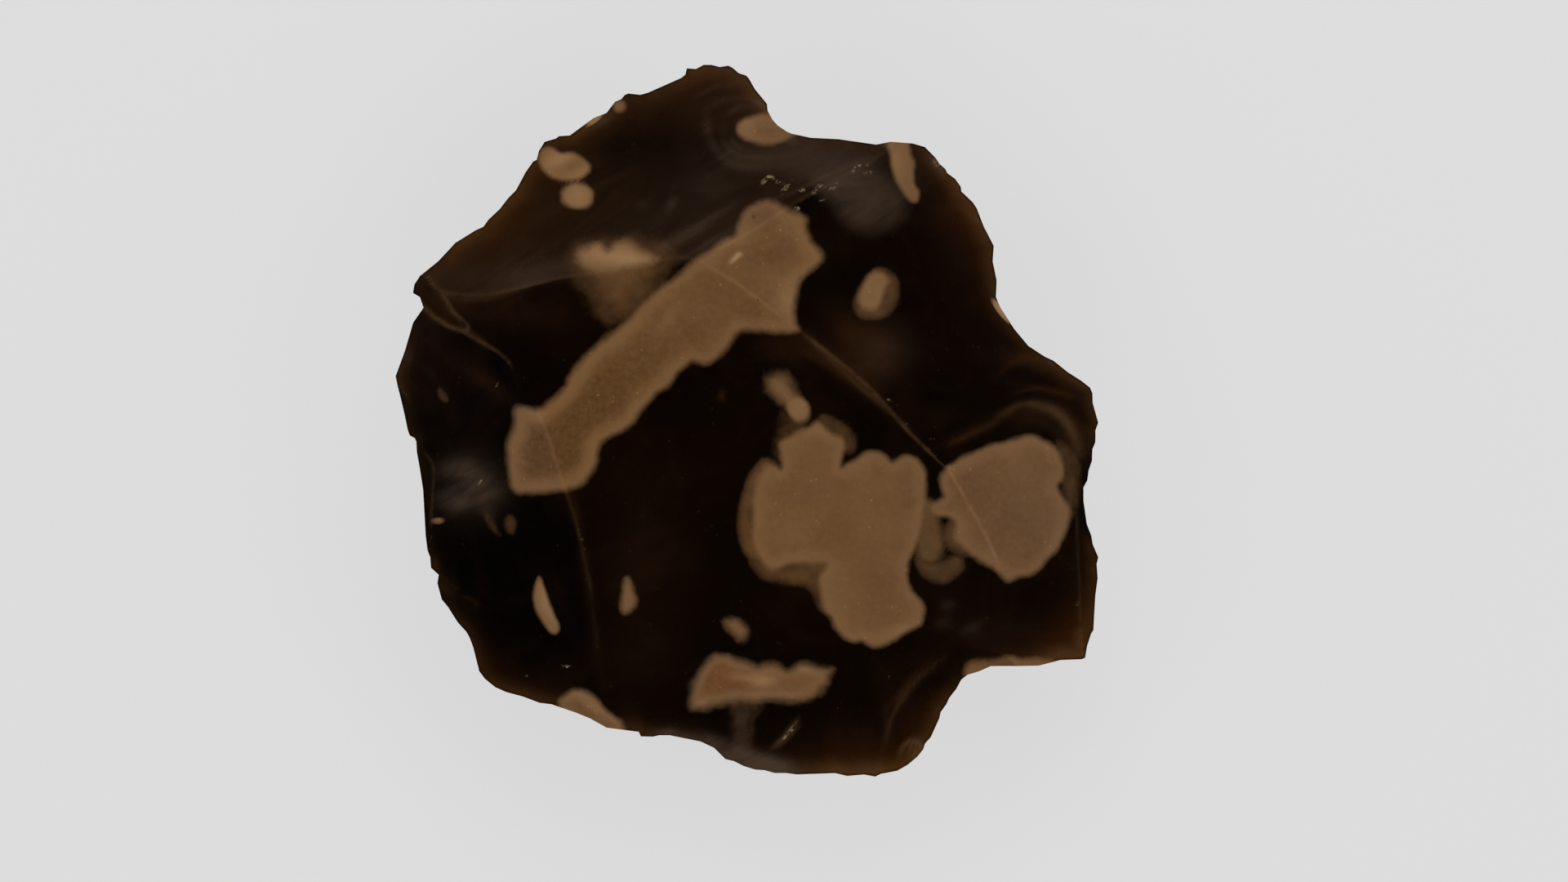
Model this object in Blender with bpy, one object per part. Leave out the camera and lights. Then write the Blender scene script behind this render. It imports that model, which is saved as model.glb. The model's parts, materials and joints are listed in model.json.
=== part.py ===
"""A Levallois core: a nodule of dark flint prepared by knapping, as one solid.

The upper side is the flaking face, a low dome of broad flake scars that meet in ridges. The underside
has the steep scars of the striking platform all round, and in the middle the patch of cortex, with the
flat spot on which the stone lies. Lengths are in millimetres and become metres when the mesh is made.
+X is right and +Y is up as one looks down on the flaking face, and +Z is up.
"""

import bmesh
import bpy
import numpy as np

# Driving sizes, in millimetres
MM = 0.001
GRID = 48  # cells along each side of a sheet; the stone is two such sheets sewn at the edge
EDGE_SMOOTHING = 2.5  # reach over which the small teeth of the edge are evened out
TEETH_FADE = 4.0  # how far in from the edge its teeth still show in the underside
FLAT_SPOT = 14.0  # radius of the flat spot under the stone
CORTEX_CENTRE = (1.0, -1.0)
CORTEX_SLOPE = 0.3  # the cortex curls up from the flat spot towards this slope
CORTEX_CURL = 14.0  # over about this distance
DISH_RISE = 3.0  # a small scar's sheet climbs out past its reach by distance squared over this
EDGE_LEVEL = 24.0  # height from which the scars further in fall, whatever the edge does there
LEVEL_REACH = 12.0  # how far in from the edge its own ups and downs still count
BULB_REACH = 3.0  # length of the small hollow where each platform flake was struck
RIDGE_REACHES = (1.15, 0.55)  # within these distances, one after the other, corners move onto a ridge
SLOPE_STEP = 0.01  # distance over which slopes are measured

# The edge of the stone from above, clockwise from its left corner
EDGE = [
    (-47.4, 18), (-47.2, 19.2), (-46.4, 20.4), (-43.8, 22.5), (-41.4, 25.1), (-37.4, 27.4),
    (-35.1, 29.9), (-32.8, 32.6), (-30.4, 36.7), (-29.9, 36.95), (-29.6, 38.2), (-28.8, 39.5),
    (-26.8, 40.3), (-25.2, 40.4), (-21.8, 42.9), (-20, 43.6), (-18.8, 45.2), (-17.4, 46.2),
    (-14.1, 46.5), (-9.4, 48.6), (-8.8, 49.1), (-8.6, 50), (-7.3, 49.9), (-6.2, 50.5),
    (-3.9, 50.2), (-2.7, 50.4), (0.2, 48.6), (2.8, 44.9), (2.9, 43.9), (3.6, 42.6), (5.6, 40.9),
    (9, 40), (12.9, 39.8), (18.3, 39), (20.3, 39.4), (23.4, 39.2), (25.2, 38.7), (28.4, 35),
    (29.5, 34.2), (30.3, 33.1), (30.4, 32.4), (32, 30.9), (35, 24.7), (34.85, 22.5), (35.4, 19.8),
    (35.3, 17.4), (35.9, 16), (37.9, 12.9), (39.9, 10.5), (43.5, 8.4), (47.4, 5.6), (48.7, 4.6),
    (49.05, 3.8), (49.1, 2.4), (49.9, -0.4), (49.5, -1.5), (49.1, -5.8), (48.4, -8.6),
    (47.8, -9.6), (47.8, -11.5), (48.3, -14.8), (50.05, -19.6), (49.3, -29.9), (48.3, -32.2),
    (48, -33.8), (44.5, -34.1), (41.4, -34.9), (34.6, -35), (31.3, -36.2), (30.4, -36.9),
    (28.7, -39.5), (27.5, -41.5), (26.1, -45.1), (24.2, -47.9), (21.3, -49.9), (18.2, -50.7),
    (16.6, -50.4), (14.2, -50.6), (12.5, -50.2), (7, -50.4), (1.1, -49.7), (-3.1, -48.2),
    (-4.7, -46.6), (-6.6, -45.7), (-11, -44.8), (-15.1, -44.95), (-15.4, -44.3), (-20, -43.7),
    (-24.3, -41.6), (-34.2, -38.7), (-35.8, -38), (-37.3, -36.8), (-38.1, -35.7), (-39.5, -30.8),
    (-43.4, -25.5), (-44, -23.2), (-43.8, -22), (-44.9, -21), (-45.7, -16.4), (-46.1, -10),
    (-47.05, -3.1), (-47.3, -2.6), (-48.1, -2.2), (-48.4, -1.4), (-50, 6.2), (-47.4, 13.8),
    (-45.9, 15.9), (-46.4, 17.4),
]

# The ridges of the flaking face: x, y and height above the ground along each
UPPER_RIDGE = [
    (-43.5, 18.3, 28.0), (-38, 17.8, 29.4), (-30, 19.3, 31.0), (-25, 20.4, 31.9), (-20, 20.9, 32.8),
    (-15, 21.7, 33.6), (-12, 22.7, 34.0), (-7, 22.8, 34.6),
]
MIDDLE_RIDGE = [
    (-7, 22.8, 34.6), (-4.6, 21.3, 34.8), (0, 18.3, 35.0), (5, 14.4, 35.2), (10, 10.6, 35.1),
    (17, 4.8, 34.6), (23, -1.8, 33.9), (28.3, -6.7, 33.1),
]
RIGHT_RIDGE = [(28.3, -6.7, 33.1), (31, -11.5, 32.0), (35, -19, 29.9), (37.5, -26, 27.8), (38, -30, 26.6)]
CREST_RIDGE = [
    (-7, 22.8, 34.6), (-3, 24.8, 34.2), (3, 28.2, 33.3), (9, 32, 32.0), (14.5, 35, 30.3), (20, 38.5, 28.2),
]
LEFT_RIDGE = [
    (-44.5, 16.3, 27.4), (-42, 13.8, 28.4), (-38.5, 11.6, 29.6), (-34, 8.6, 31.0), (-32, 5, 31.6),
    (-29, 0, 32.0), (-26.5, -7.5, 31.9), (-24.3, -14, 31.3), (-22.3, -23, 29.8), (-21.3, -31, 28.1),
    (-20.5, -38.5, 26.2),
]
SOFT_RIDGE = [(28.3, -6.7, 33.1), (31, -2.4, 32.0), (36, 0.2, 29.9), (42, 2, 27.1), (48, 4.2, 23.8)]
LOBE_RIDGE = [(28, -34, 26.4), (24, -37.5, 26.5), (20.5, -42, 25.6), (19.5, -47, 24.2)]

# The broad flake scars of the flaking face: the ridges each one meets, and other points on its floor
BROAD_SCARS = {
    "central scar": (
        [UPPER_RIDGE, MIDDLE_RIDGE, RIGHT_RIDGE, LEFT_RIDGE, LOBE_RIDGE],
        [(-15, 8, 31.9), (0, 2, 32.0), (-8, -12, 30.3), (10, -12, 30.5), (0, -28, 27.9), (22, -22, 29.6),
         (-12, -38, 25.8), (4, -42, 25.2), (-12, -45, 24.0), (5, -50.3, 23.0), (16, -49, 23.6),
         (34, -34, 25.6)],
    ),
    "upper left scar": (
        [UPPER_RIDGE, CREST_RIDGE],
        [(-40, 26, 26.2), (-30, 37, 24.2), (-18, 46, 22.8), (-6, 50, 22.2), (2, 46, 23.4), (10, 40, 26.6),
         (-28, 27, 28.8), (-14, 33, 29.4), (-4, 39, 27.6), (-20, 38, 26.4)],
    ),
    "right scar": (
        [MIDDLE_RIDGE, CREST_RIDGE, SOFT_RIDGE],
        [(25, 38.5, 26.4), (32, 30.5, 25.2), (35, 21, 25.4), (37, 14, 25.4), (43, 8.5, 24.6),
         (14, 24, 32.0), (23, 15, 31.4), (28, 7, 31.4), (24, 28, 29.6)],
    ),
    "lower right scar": (
        [RIGHT_RIDGE, SOFT_RIDGE],
        [(49.5, -2, 22.8), (47, -10, 25.1), (46.9, -18, 25.4), (47.3, -26, 25.0), (48, -33.8, 23.9),
         (38, -34, 25.2), (38, -7, 30.2), (42, -16, 27.9), (42, -27, 26.2)],
    ),
    "left scar": (
        [LEFT_RIDGE],
        [(-49.8, 6, 22.6), (-48.3, -1, 23.4), (-44.9, -10, 25.1), (-45.2, -18, 24.9), (-43, -25.5, 24.0),
         (-39.5, -30.8, 23.8), (-36, -38, 23.0), (-28, -40.3, 23.9), (-21.5, -43, 24.4), (-38, 2, 28.6),
         (-33, -10, 29.3), (-32, -26, 27.6)],
    ),
}
# The small scars at its edge: the break where each starts, other points, and its centre and reach
SMALL_SCARS = {
    "corner sliver": (
        [(-46, 20.3, 26.6), (-42.5, 17.3, 28.2), (-39.3, 13.2, 29.5)],
        [(-44.5, 16.3, 27.4), (-42, 13.8, 28.4), (-38.9, 11.9, 29.5), (-46.8, 17.6, 25.4),
         (-43.4, 16.5, 27.4)], (-43, 16), 5,
    ),
    "lobe scar": (
        LOBE_RIDGE,
        [(29.5, -38.5, 23.8), (26, -45.3, 22.4), (22, -49.5, 22.0), (25, -41, 24.6)], (28, -43), 10,
    ),
    "right flank": (
        [(46.9, -11.5, 25.2), (46.9, -18, 25.4), (47.3, -26, 25.0), (48, -33.8, 23.9)],
        [(48.4, -11.5, 20.8), (50, -19.6, 17.6), (49.6, -29, 18.6), (49, -33.9, 21.0)], (60, -22), 18,
    ),
    "left flank": (
        [(-46.4, -3.6, 24.4), (-44.9, -6, 25.0), (-44.9, -14, 25.2), (-45.2, -18, 24.9)],
        [(-47.4, -3.2, 21.2), (-46.3, -10, 21.4), (-46.2, -17, 22.0)], (-58, -11), 14,
    ),
}

# The platform scars of the underside: direction in degrees, turn of its middle line, breadth, slope
# in degrees and depth of the hollow under the blow
PLATFORM_SCARS = [
    (6, 8, 19, 56, 1.2), (29, -12, 15, 62, 1.0), (50, 6, 22, 54, 1.5), (71, 14, 16, 61, 1.1),
    (90, -9, 17, 57, 1.4), (113, 5, 24, 55, 1.3), (134, -14, 16, 63, 0.9), (158, 9, 20, 53, 1.5),
    (184, -6, 23, 60, 1.3), (208, 12, 18, 56, 1.1), (231, -10, 16, 63, 1.4), (252, 4, 21, 54, 1.2),
    (277, -13, 24, 59, 1.5), (300, 10, 16, 56, 1.1), (318, -5, 18, 62, 1.3), (340, 7, 22, 55, 1.2),
]
# The older scars further in: direction, turn, breadth, slope, and how far below the edge each starts
INNER_SCARS = [
    (18, 10, 34, 30, 7.5), (66, -14, 30, 27, 9.0), (112, 8, 38, 32, 7.0), (160, -9, 31, 28, 8.5),
    (206, 12, 36, 31, 7.0), (255, -12, 32, 26, 9.5), (305, 9, 35, 30, 8.0),
]


def thin_plate(points):
    """The smoothest sheet through the points: a plane plus r squared times ln r for every point."""
    points = np.unique(np.array(points, float), axis=0)
    places, heights = points[:, :2], points[:, 2]

    def swell(x, y):
        square = (x[:, None] - places[:, 0]) ** 2 + (y[:, None] - places[:, 1]) ** 2
        return 0.5 * square * np.log(square + 1e-9)

    count = len(points)
    plane = np.column_stack([np.ones(count), places])
    system = np.zeros((count + 3, count + 3))
    system[:count, :count] = swell(places[:, 0], places[:, 1])
    system[:count, count:] = plane
    system[count:, :count] = plane.T
    weights = np.linalg.solve(system, np.append(heights, [0, 0, 0]))

    def height(x, y):
        return swell(x, y) @ weights[:count] + weights[count] + weights[count + 1] * x + weights[count + 2] * y

    return height


def dish(points, centre, reach):
    """A small scar: the sheet through its points, which climbs out of the stone past its reach."""
    sheet = thin_plate(points)

    def height(x, y):
        past = np.maximum(np.hypot(x - centre[0], y - centre[1]) - reach, 0)
        return sheet(x, y) + past**2 / DISH_RISE

    return height


def scar_sheets():
    """One sheet for each flake scar, through the ridges that it meets and the points on its floor."""
    broad = [thin_plate(sum(ridges, []) + floor) for ridges, floor in BROAD_SCARS.values()]
    return broad + [dish(start + floor, centre, reach) for start, floor, centre, reach in SMALL_SCARS.values()]


def flaking_face(sheets, x, y):
    """Each flake took away what lay above its sheet, so the face is the lowest of the sheets."""
    return np.min([sheet(x, y) for sheet in sheets], axis=0)


def settle_on_ridges(sheets, x, y, reach):
    """Corners closer to a ridge than the reach are moved onto it, where the two lowest sheets meet."""
    here = np.array([sheet(x, y) for sheet in sheets])
    right = np.array([sheet(x + SLOPE_STEP, y) for sheet in sheets])
    ahead = np.array([sheet(x, y + SLOPE_STEP) for sheet in sheets])
    lowest, second = np.argsort(here, axis=0)[:2]
    column = np.arange(len(x))
    gap = here[second, column] - here[lowest, column]
    across = (right[second, column] - right[lowest, column] - gap) / SLOPE_STEP
    along = (ahead[second, column] - ahead[lowest, column] - gap) / SLOPE_STEP
    steepness = across**2 + along**2 + 1e-9
    near = gap / np.sqrt(steepness) < reach
    return x - near * gap * across / steepness, y - near * gap * along / steepness


def edge_ring(count):
    """The edge as count points, counter-clockwise from the +X side, with the longest spans split."""
    corners = np.array(EDGE[::-1])
    corners -= (corners.max(axis=0) + corners.min(axis=0)) / 2
    corners = np.roll(corners, -np.argmin(np.abs(np.arctan2(corners[:, 1], corners[:, 0]))), axis=0)
    spans = np.roll(corners, -1, axis=0) - corners
    lengths = np.hypot(spans[:, 0], spans[:, 1])
    pieces = np.ones(len(corners), int)
    for _ in range(count - len(corners)):
        pieces[np.argmax(lengths / pieces)] += 1
    share = np.concatenate([np.arange(number) / number for number in pieces])
    return np.repeat(corners, pieces, axis=0) + share[:, None] * np.repeat(spans, pieces, axis=0)


def evened(values, passes):
    """Values round the edge, averaged with their neighbours again and again."""
    for _ in range(passes):
        values = (np.roll(values, 1, axis=0) + 2 * values + np.roll(values, -1, axis=0)) / 4
    return values


def round_edge(values, turn):
    """The values round the edge, read at turn, which goes once from 0 to 1."""
    place = (turn % 1) * len(values)
    low = place.astype(int) % len(values)
    part = place - np.floor(place)
    return values[low] * (1 - part) + values[(low + 1) % len(values)] * part


def sheet_places(across, up, ring, smooth_ring):
    """A square sheet, from -1 to 1 each way, drawn out so that its border becomes the edge.

    Each square ring of the sheet becomes the edge shrunk towards the middle. Returned are the turn
    round the edge, how much of its teeth is left that far in, and x and y.
    """
    size = np.maximum(np.abs(across), np.abs(up))
    safe = np.maximum(size, 1e-9)
    flat = np.abs(across) >= np.abs(up)
    quarter = np.where(flat, up / safe * np.sign(across), 2 - across / safe * np.sign(up))
    turn = (quarter + np.where(np.where(flat, across, up) < 0, 4, 0)) / 8
    x_even, y_even = (round_edge(smooth_ring[:, k], turn) for k in (0, 1))
    teeth = np.exp((size - 1) * np.hypot(x_even, y_even) / TEETH_FADE)
    x = size * x_even + teeth * (round_edge(ring[:, 0], turn) - x_even)
    y = size * y_even + teeth * (round_edge(ring[:, 1], turn) - y_even)
    return turn, teeth, x, y


def distance_in(x, y, ring):
    """How far each place lies from the nearest of the straight spans between the ring's points."""
    nearest = np.full(len(x), np.inf)
    for start, end in zip(ring, np.roll(ring, -1, axis=0)):
        span = end - start
        share = ((x - start[0]) * span[0] + (y - start[1]) * span[1]) / (span @ span)
        share = np.clip(share, 0, 1)
        away = np.hypot(x - start[0] - share * span[0], y - start[1] - share * span[1])
        nearest = np.minimum(nearest, away)
    return nearest


def cortex(x, y):
    """Flat in the middle, then curling up like a shallow bowl."""
    distance = np.hypot(x - CORTEX_CENTRE[0], y - CORTEX_CENTRE[1])
    past = np.maximum(distance - FLAT_SPOT, 0)
    return CORTEX_SLOPE * (np.hypot(past, CORTEX_CURL) - CORTEX_CURL)


def underside(x, y, inward, edge_height, smooth_ring):
    """Each platform flake cut upwards from the edge, so the underside is the highest of the scars.

    A scar falls from the edge at its slope, after a small hollow under the blow, and falls faster
    away from its middle line, which runs from its place on the edge in towards the other side.
    """
    height = cortex(x, y)
    level = EDGE_LEVEL + (edge_height - EDGE_LEVEL) * np.exp(-inward / LEVEL_REACH)
    bearings = np.arctan2(smooth_ring[:, 1], smooth_ring[:, 0])
    rows = [(turn, skew, breadth, slope, 0, bulb) for turn, skew, breadth, slope, bulb in PLATFORM_SCARS]
    rows += [(turn, skew, breadth, slope, start, 0) for turn, skew, breadth, slope, start in INNER_SCARS]
    for turn, skew, breadth, slope, start, bulb in rows:
        struck = smooth_ring[np.argmax(np.cos(bearings - np.radians(turn)))]
        line = np.radians(turn + skew)
        aside = (x - struck[0]) * np.sin(line) - (y - struck[1]) * np.cos(line)
        fall = start + np.tan(np.radians(slope)) * inward - bulb * (1 - np.exp(-inward / BULB_REACH))
        fall = fall * (1 + (aside / breadth) ** 2)
        beyond = x * np.cos(line) + y * np.sin(line) < 0
        height = np.maximum(height, np.where(beyond, 0, level - fall))
    return height


def make_sheet(shape_it, face_down):
    """A grid primitive whose corners are moved to where shape_it puts them."""
    sheet = bmesh.new()
    bmesh.ops.create_grid(sheet, x_segments=GRID, y_segments=GRID, size=1)
    flat = np.array([corner.co for corner in sheet.verts])
    for corner, place in zip(sheet.verts, shape_it(flat[:, 0], flat[:, 1])):
        corner.co = place * MM
    if face_down:
        bmesh.ops.reverse_faces(sheet, faces=sheet.faces)
    mesh = bpy.data.meshes.new("sheet")
    sheet.to_mesh(mesh)
    sheet.free()
    return mesh


def make_stone():
    """The flaking face and the underside, sewn along the edge that they share."""
    sheets = scar_sheets()
    ring = edge_ring(4 * GRID)
    spacing = np.hypot(*np.diff(ring, axis=0).T).mean()
    passes = round(2 * (EDGE_SMOOTHING / spacing) ** 2)
    smooth_ring = evened(ring, passes)
    edge_height = flaking_face(sheets, ring[:, 0], ring[:, 1])
    smooth_height = evened(edge_height, passes)

    def upper(across, up):
        x, y = sheet_places(across, up, ring, smooth_ring)[2:]
        border = np.maximum(np.abs(across), np.abs(up)) > 1 - 1.5 / GRID
        x_settled, y_settled = x, y
        for reach in RIDGE_REACHES:
            x_settled, y_settled = settle_on_ridges(sheets, x_settled, y_settled, reach)
        x, y = np.where(border, x, x_settled), np.where(border, y, y_settled)
        return np.column_stack([x, y, flaking_face(sheets, x, y)])

    def lower(across, up):
        turn, teeth, x, y = sheet_places(across, up, ring, smooth_ring)
        even = round_edge(smooth_height, turn)
        height = underside(x, y, distance_in(x, y, ring), even, smooth_ring)
        height = height + teeth * (round_edge(edge_height, turn) - even) * (height > 0)
        border = np.maximum(np.abs(across), np.abs(up)) > 1 - 0.5 / GRID
        return np.column_stack([x, y, np.where(border, round_edge(edge_height, turn), height)])

    stone = bmesh.new()
    for shape_it, face_down in ((upper, False), (lower, True)):
        mesh = make_sheet(shape_it, face_down)
        stone.from_mesh(mesh)
        bpy.data.meshes.remove(mesh)
    bmesh.ops.remove_doubles(stone, verts=stone.verts, dist=1e-7)
    bmesh.ops.triangulate(stone, faces=stone.faces, quad_method="BEAUTY")
    mesh = bpy.data.meshes.new("levallois_core")
    stone.to_mesh(mesh)
    stone.free()
    return mesh


def flint():
    """Dark brown flint with a faint gloss."""
    material = bpy.data.materials.new("flint")
    material.use_nodes = True
    surface = material.node_tree.nodes["Principled BSDF"]
    surface.inputs["Base Color"].default_value = (0.022, 0.012, 0.007, 1)
    surface.inputs["Roughness"].default_value = 0.42
    surface.inputs["Metallic"].default_value = 0
    return material


def main():
    for old in list(bpy.data.objects):
        bpy.data.objects.remove(old)
    collection = bpy.data.collections.new("levallois core")
    bpy.context.scene.collection.children.link(collection)
    stone = bpy.data.objects.new("levallois_core", make_stone())
    stone.data.materials.append(flint())
    collection.objects.link(stone)


main()
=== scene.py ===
# %% [markdown]
# # A Levallois core of dark flint
#
# The object is one flaked stone, about 100 mm across, lying on its underside with the flaking face up.
# The CAD frame gives its place and size. This script lays a finer stone over it: the same flake scars
# on a grid of half a millimetre, with ripples and edge scars, and a flint material whose inclusions,
# hazes, thin amber edges and cortex are all worked out from shapes.

# %% Load the frame
import json
import math

import bpy
import numpy as np
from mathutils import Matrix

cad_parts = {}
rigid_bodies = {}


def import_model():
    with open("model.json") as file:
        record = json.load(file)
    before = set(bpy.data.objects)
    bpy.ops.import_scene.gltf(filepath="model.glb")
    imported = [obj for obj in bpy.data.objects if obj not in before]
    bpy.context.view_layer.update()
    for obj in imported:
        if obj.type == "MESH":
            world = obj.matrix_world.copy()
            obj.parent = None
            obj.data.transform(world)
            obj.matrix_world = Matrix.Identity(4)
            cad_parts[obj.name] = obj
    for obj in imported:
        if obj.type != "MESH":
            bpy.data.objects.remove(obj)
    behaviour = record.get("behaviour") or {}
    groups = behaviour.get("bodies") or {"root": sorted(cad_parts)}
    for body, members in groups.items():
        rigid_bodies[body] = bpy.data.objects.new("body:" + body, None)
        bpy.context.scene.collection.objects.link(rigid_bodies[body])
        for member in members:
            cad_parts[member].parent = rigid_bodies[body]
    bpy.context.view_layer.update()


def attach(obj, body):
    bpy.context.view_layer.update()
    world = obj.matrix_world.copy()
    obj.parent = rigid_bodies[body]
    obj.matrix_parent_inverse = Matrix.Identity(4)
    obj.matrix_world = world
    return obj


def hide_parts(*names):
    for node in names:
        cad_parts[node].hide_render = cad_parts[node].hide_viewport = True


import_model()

MM = 0.001  # the shapes below are written in millimetres

# %% [markdown]
# ## The edge of the stone
#
# From above, the stone is a ring of small bites where platform flakes were struck. An even curve would
# lose them, so the edge is a list of its corners, read one by one, and straight spans join them. Two
# kinds
# of edge are used below: the toothed one, and an evened one that the inside of the stone follows.

# %% The edge, clockwise from the left corner
EDGE = [
    (-47.4, 18), (-47.2, 19.2), (-46.4, 20.4), (-43.8, 22.5), (-41.4, 25.1), (-38.5, 26.9),
    (-37.4, 27.4), (-36.7, 28.4), (-35.1, 29.9), (-33.9, 31.5), (-32.8, 32.6), (-31.5, 35.1),
    (-30.4, 36.7), (-29.9, 36.95), (-29.6, 38.2), (-28.8, 39.5), (-27.1, 40), (-26.8, 40.3),
    (-25.2, 40.4), (-21.8, 42.9), (-20, 43.6), (-18.8, 45.2), (-17.9, 45.6), (-17.4, 46.2),
    (-16.9, 46.4), (-15.2, 46.2), (-14.1, 46.5), (-9.4, 48.6), (-8.8, 49.1), (-8.6, 50),
    (-7.3, 49.9), (-6.2, 50.5), (-5.1, 50.5), (-3.9, 50.2), (-2.7, 50.4), (-2.1, 50.1),
    (-1.2, 49.3), (-0.2, 49), (0.2, 48.6), (1.1, 47), (2.8, 44.9), (2.9, 43.9), (3.6, 42.6),
    (4.3, 41.8), (5.6, 40.9), (6.3, 40.6), (9, 40), (12.9, 39.8), (18.3, 39), (20.3, 39.4),
    (23.4, 39.2), (25.2, 38.7), (26.7, 37.2), (27.3, 36.3), (28.1, 35.6), (28.4, 35), (29.5, 34.2),
    (30.3, 33.1), (30.4, 32.4), (32, 30.9), (32.6, 30), (33.6, 27.4), (35, 24.7), (34.85, 22.5),
    (35.4, 19.8), (35.3, 17.4), (35.9, 16), (37.9, 12.9), (39.9, 10.5), (42.2, 9), (43.5, 8.4),
    (45.5, 6.8), (47.4, 5.6), (48.7, 4.6), (49.05, 3.8), (49.1, 2.4), (49.9, -0.4), (49.5, -1.5),
    (49.5, -3.2), (49.1, -4.2), (49.1, -5.8), (48.6, -7.2), (48.4, -8.6), (47.8, -9.6),
    (47.8, -11.5), (48.3, -14.8), (49, -16.5), (49.2, -17.7), (50.05, -19.6), (49.8, -20.5),
    (49.95, -22.6), (49.6, -25), (49.3, -29.9), (48.9, -30.5), (48.3, -32.2), (48, -33.8),
    (47.5, -34), (44.5, -34.1), (41.4, -34.9), (34.6, -35), (33, -35.7), (31.3, -36.2),
    (30.4, -36.9), (29.7, -38.2), (28.7, -39.5), (28.3, -40.4), (27.5, -41.5), (27.3, -42.4),
    (26.1, -45.1), (25.3, -46), (25, -46.9), (24.2, -47.9), (22.9, -49), (21.3, -49.9),
    (19, -50.3), (18.2, -50.7), (16.6, -50.4), (14.2, -50.6), (12.5, -50.2), (7, -50.4),
    (5.6, -50.2), (3.9, -50.2), (2.5, -49.8), (1.1, -49.7), (-0.5, -49.2), (-1.9, -48.5),
    (-3.1, -48.2), (-4.7, -46.6), (-6.6, -45.7), (-11, -44.8), (-12.5, -44.8), (-13.4, -45),
    (-15.1, -44.95), (-15.4, -44.3), (-20, -43.7), (-22.3, -42.4), (-24.3, -41.6), (-27.8, -40.4),
    (-29.5, -40.2), (-31.9, -39.3), (-34.2, -38.7), (-35.8, -38), (-37.3, -36.8), (-38.1, -35.7),
    (-38.9, -32.4), (-39.5, -30.8), (-39.9, -30.1), (-41.1, -28.8), (-42.5, -26.6), (-43.4, -25.5),
    (-44, -23.2), (-43.8, -22), (-44.9, -21), (-45, -19.5), (-45.4, -18.5), (-45.7, -16.4),
    (-46.1, -10), (-47, -4.6), (-47.05, -3.1), (-47.3, -2.6), (-48.1, -2.2), (-48.4, -1.4),
    (-50, 6.2), (-48.6, 9.9), (-47.4, 13.8), (-45.9, 15.9), (-46.4, 17.4),
]
print("corners of the edge:", len(EDGE))

# %% [markdown]
# The mesh needs far more points than that, spread evenly, four times as many as a sheet has cells along
# one side. So the longest span is split again and again. Each point is then averaged with its
# neighbours, over and over, which wears the teeth away and gives the evened edge.

# %% The toothed edge and the evened edge
GRID = 220  # cells along each side of a sheet
EDGE_SMOOTHING = 2.5  # reach over which the teeth are evened out
TEETH_FADE = 4.0  # how far in from the edge its teeth still show


def edge_ring(count):
    """The edge as count points, counter-clockwise from the +X side: the longest spans are split."""
    corners = np.array(EDGE[::-1])
    corners -= (corners.max(axis=0) + corners.min(axis=0)) / 2
    corners = np.roll(corners, -np.argmin(np.abs(np.arctan2(corners[:, 1], corners[:, 0]))), axis=0)
    spans = np.roll(corners, -1, axis=0) - corners
    lengths = np.hypot(spans[:, 0], spans[:, 1])
    pieces = np.ones(len(corners), int)
    for _ in range(count - len(corners)):
        pieces[np.argmax(lengths / pieces)] += 1
    share = np.concatenate([np.arange(number) / number for number in pieces])
    return np.repeat(corners, pieces, axis=0) + share[:, None] * np.repeat(spans, pieces, axis=0)


def evened(values, passes):
    """Values round the edge, each averaged with twice itself and its neighbours, again and again."""
    for _ in range(passes):
        values = (np.roll(values, 1, axis=0) + 2 * values + np.roll(values, -1, axis=0)) / 4
    return values


ring = edge_ring(4 * GRID)
spacing = np.hypot(*np.diff(ring, axis=0).T).mean()
passes = round(2 * (EDGE_SMOOTHING / spacing) ** 2)
smooth_ring = evened(ring, passes)
print("edge points:", len(ring), "spacing, mm:", round(float(spacing), 2))

# %% [markdown]
# ## The square sheet and the stone's plan
#
# A disc could be meshed as rings round a pole, but the cells at the pole would be thin needles. Here a
# square grid is drawn out instead: each square ring of it becomes the edge, shrunk towards the middle.
# The cells stay nearly square everywhere, and there is no pole.

# %% From the square to the plan of the stone
def round_edge(values, turn):
    """The values round the edge, read at turn, which goes once from 0 to 1: a straight mix of two."""
    place = (turn % 1) * len(values)
    low = place.astype(int) % len(values)
    part = place - np.floor(place)
    return values[low] * (1 - part) + values[(low + 1) % len(values)] * part


def sheet_places(across, up):
    """Plan of the sheet: size times the evened edge, plus teeth that fade with distance from it.

    Size is the larger of across and up, and turn is how far round its square ring a point lies.
    """
    size = np.maximum(np.abs(across), np.abs(up))
    safe = np.maximum(size, 1e-9)
    flat = np.abs(across) >= np.abs(up)
    quarter = np.where(flat, up / safe * np.sign(across), 2 - across / safe * np.sign(up))
    turn = (quarter + np.where(np.where(flat, across, up) < 0, 4, 0)) / 8
    x_even, y_even = (round_edge(smooth_ring[:, k], turn) for k in (0, 1))
    teeth = np.exp((size - 1) * np.hypot(x_even, y_even) / TEETH_FADE)
    x = size * x_even + teeth * (round_edge(ring[:, 0], turn) - x_even)
    y = size * y_even + teeth * (round_edge(ring[:, 1], turn) - y_even)
    return turn, teeth, x, y


steps = np.linspace(-1, 1, GRID + 1)
up_grid, across_grid = (g.ravel() for g in np.meshgrid(steps, steps, indexing="ij"))
border = np.maximum(np.abs(across_grid), np.abs(up_grid)) > 1 - 0.5 / GRID
turn, teeth, plan_x, plan_y = sheet_places(across_grid, up_grid)
print("points on a sheet:", len(plan_x), "on its border:", int(border.sum()))

# %% [markdown]
# ## Flake scars
#
# Each flake that was struck off left one smooth, slightly hollow scar. The stone keeps what lies under
# all of them, so the flaking face is the lowest of the scars, and its ridges are where two scars cross.
# A scar is the smoothest sheet through a few points: those of its ridges, shared with its neighbours,
# and some on its floor. So each ridge lies exactly where its points say.

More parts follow.
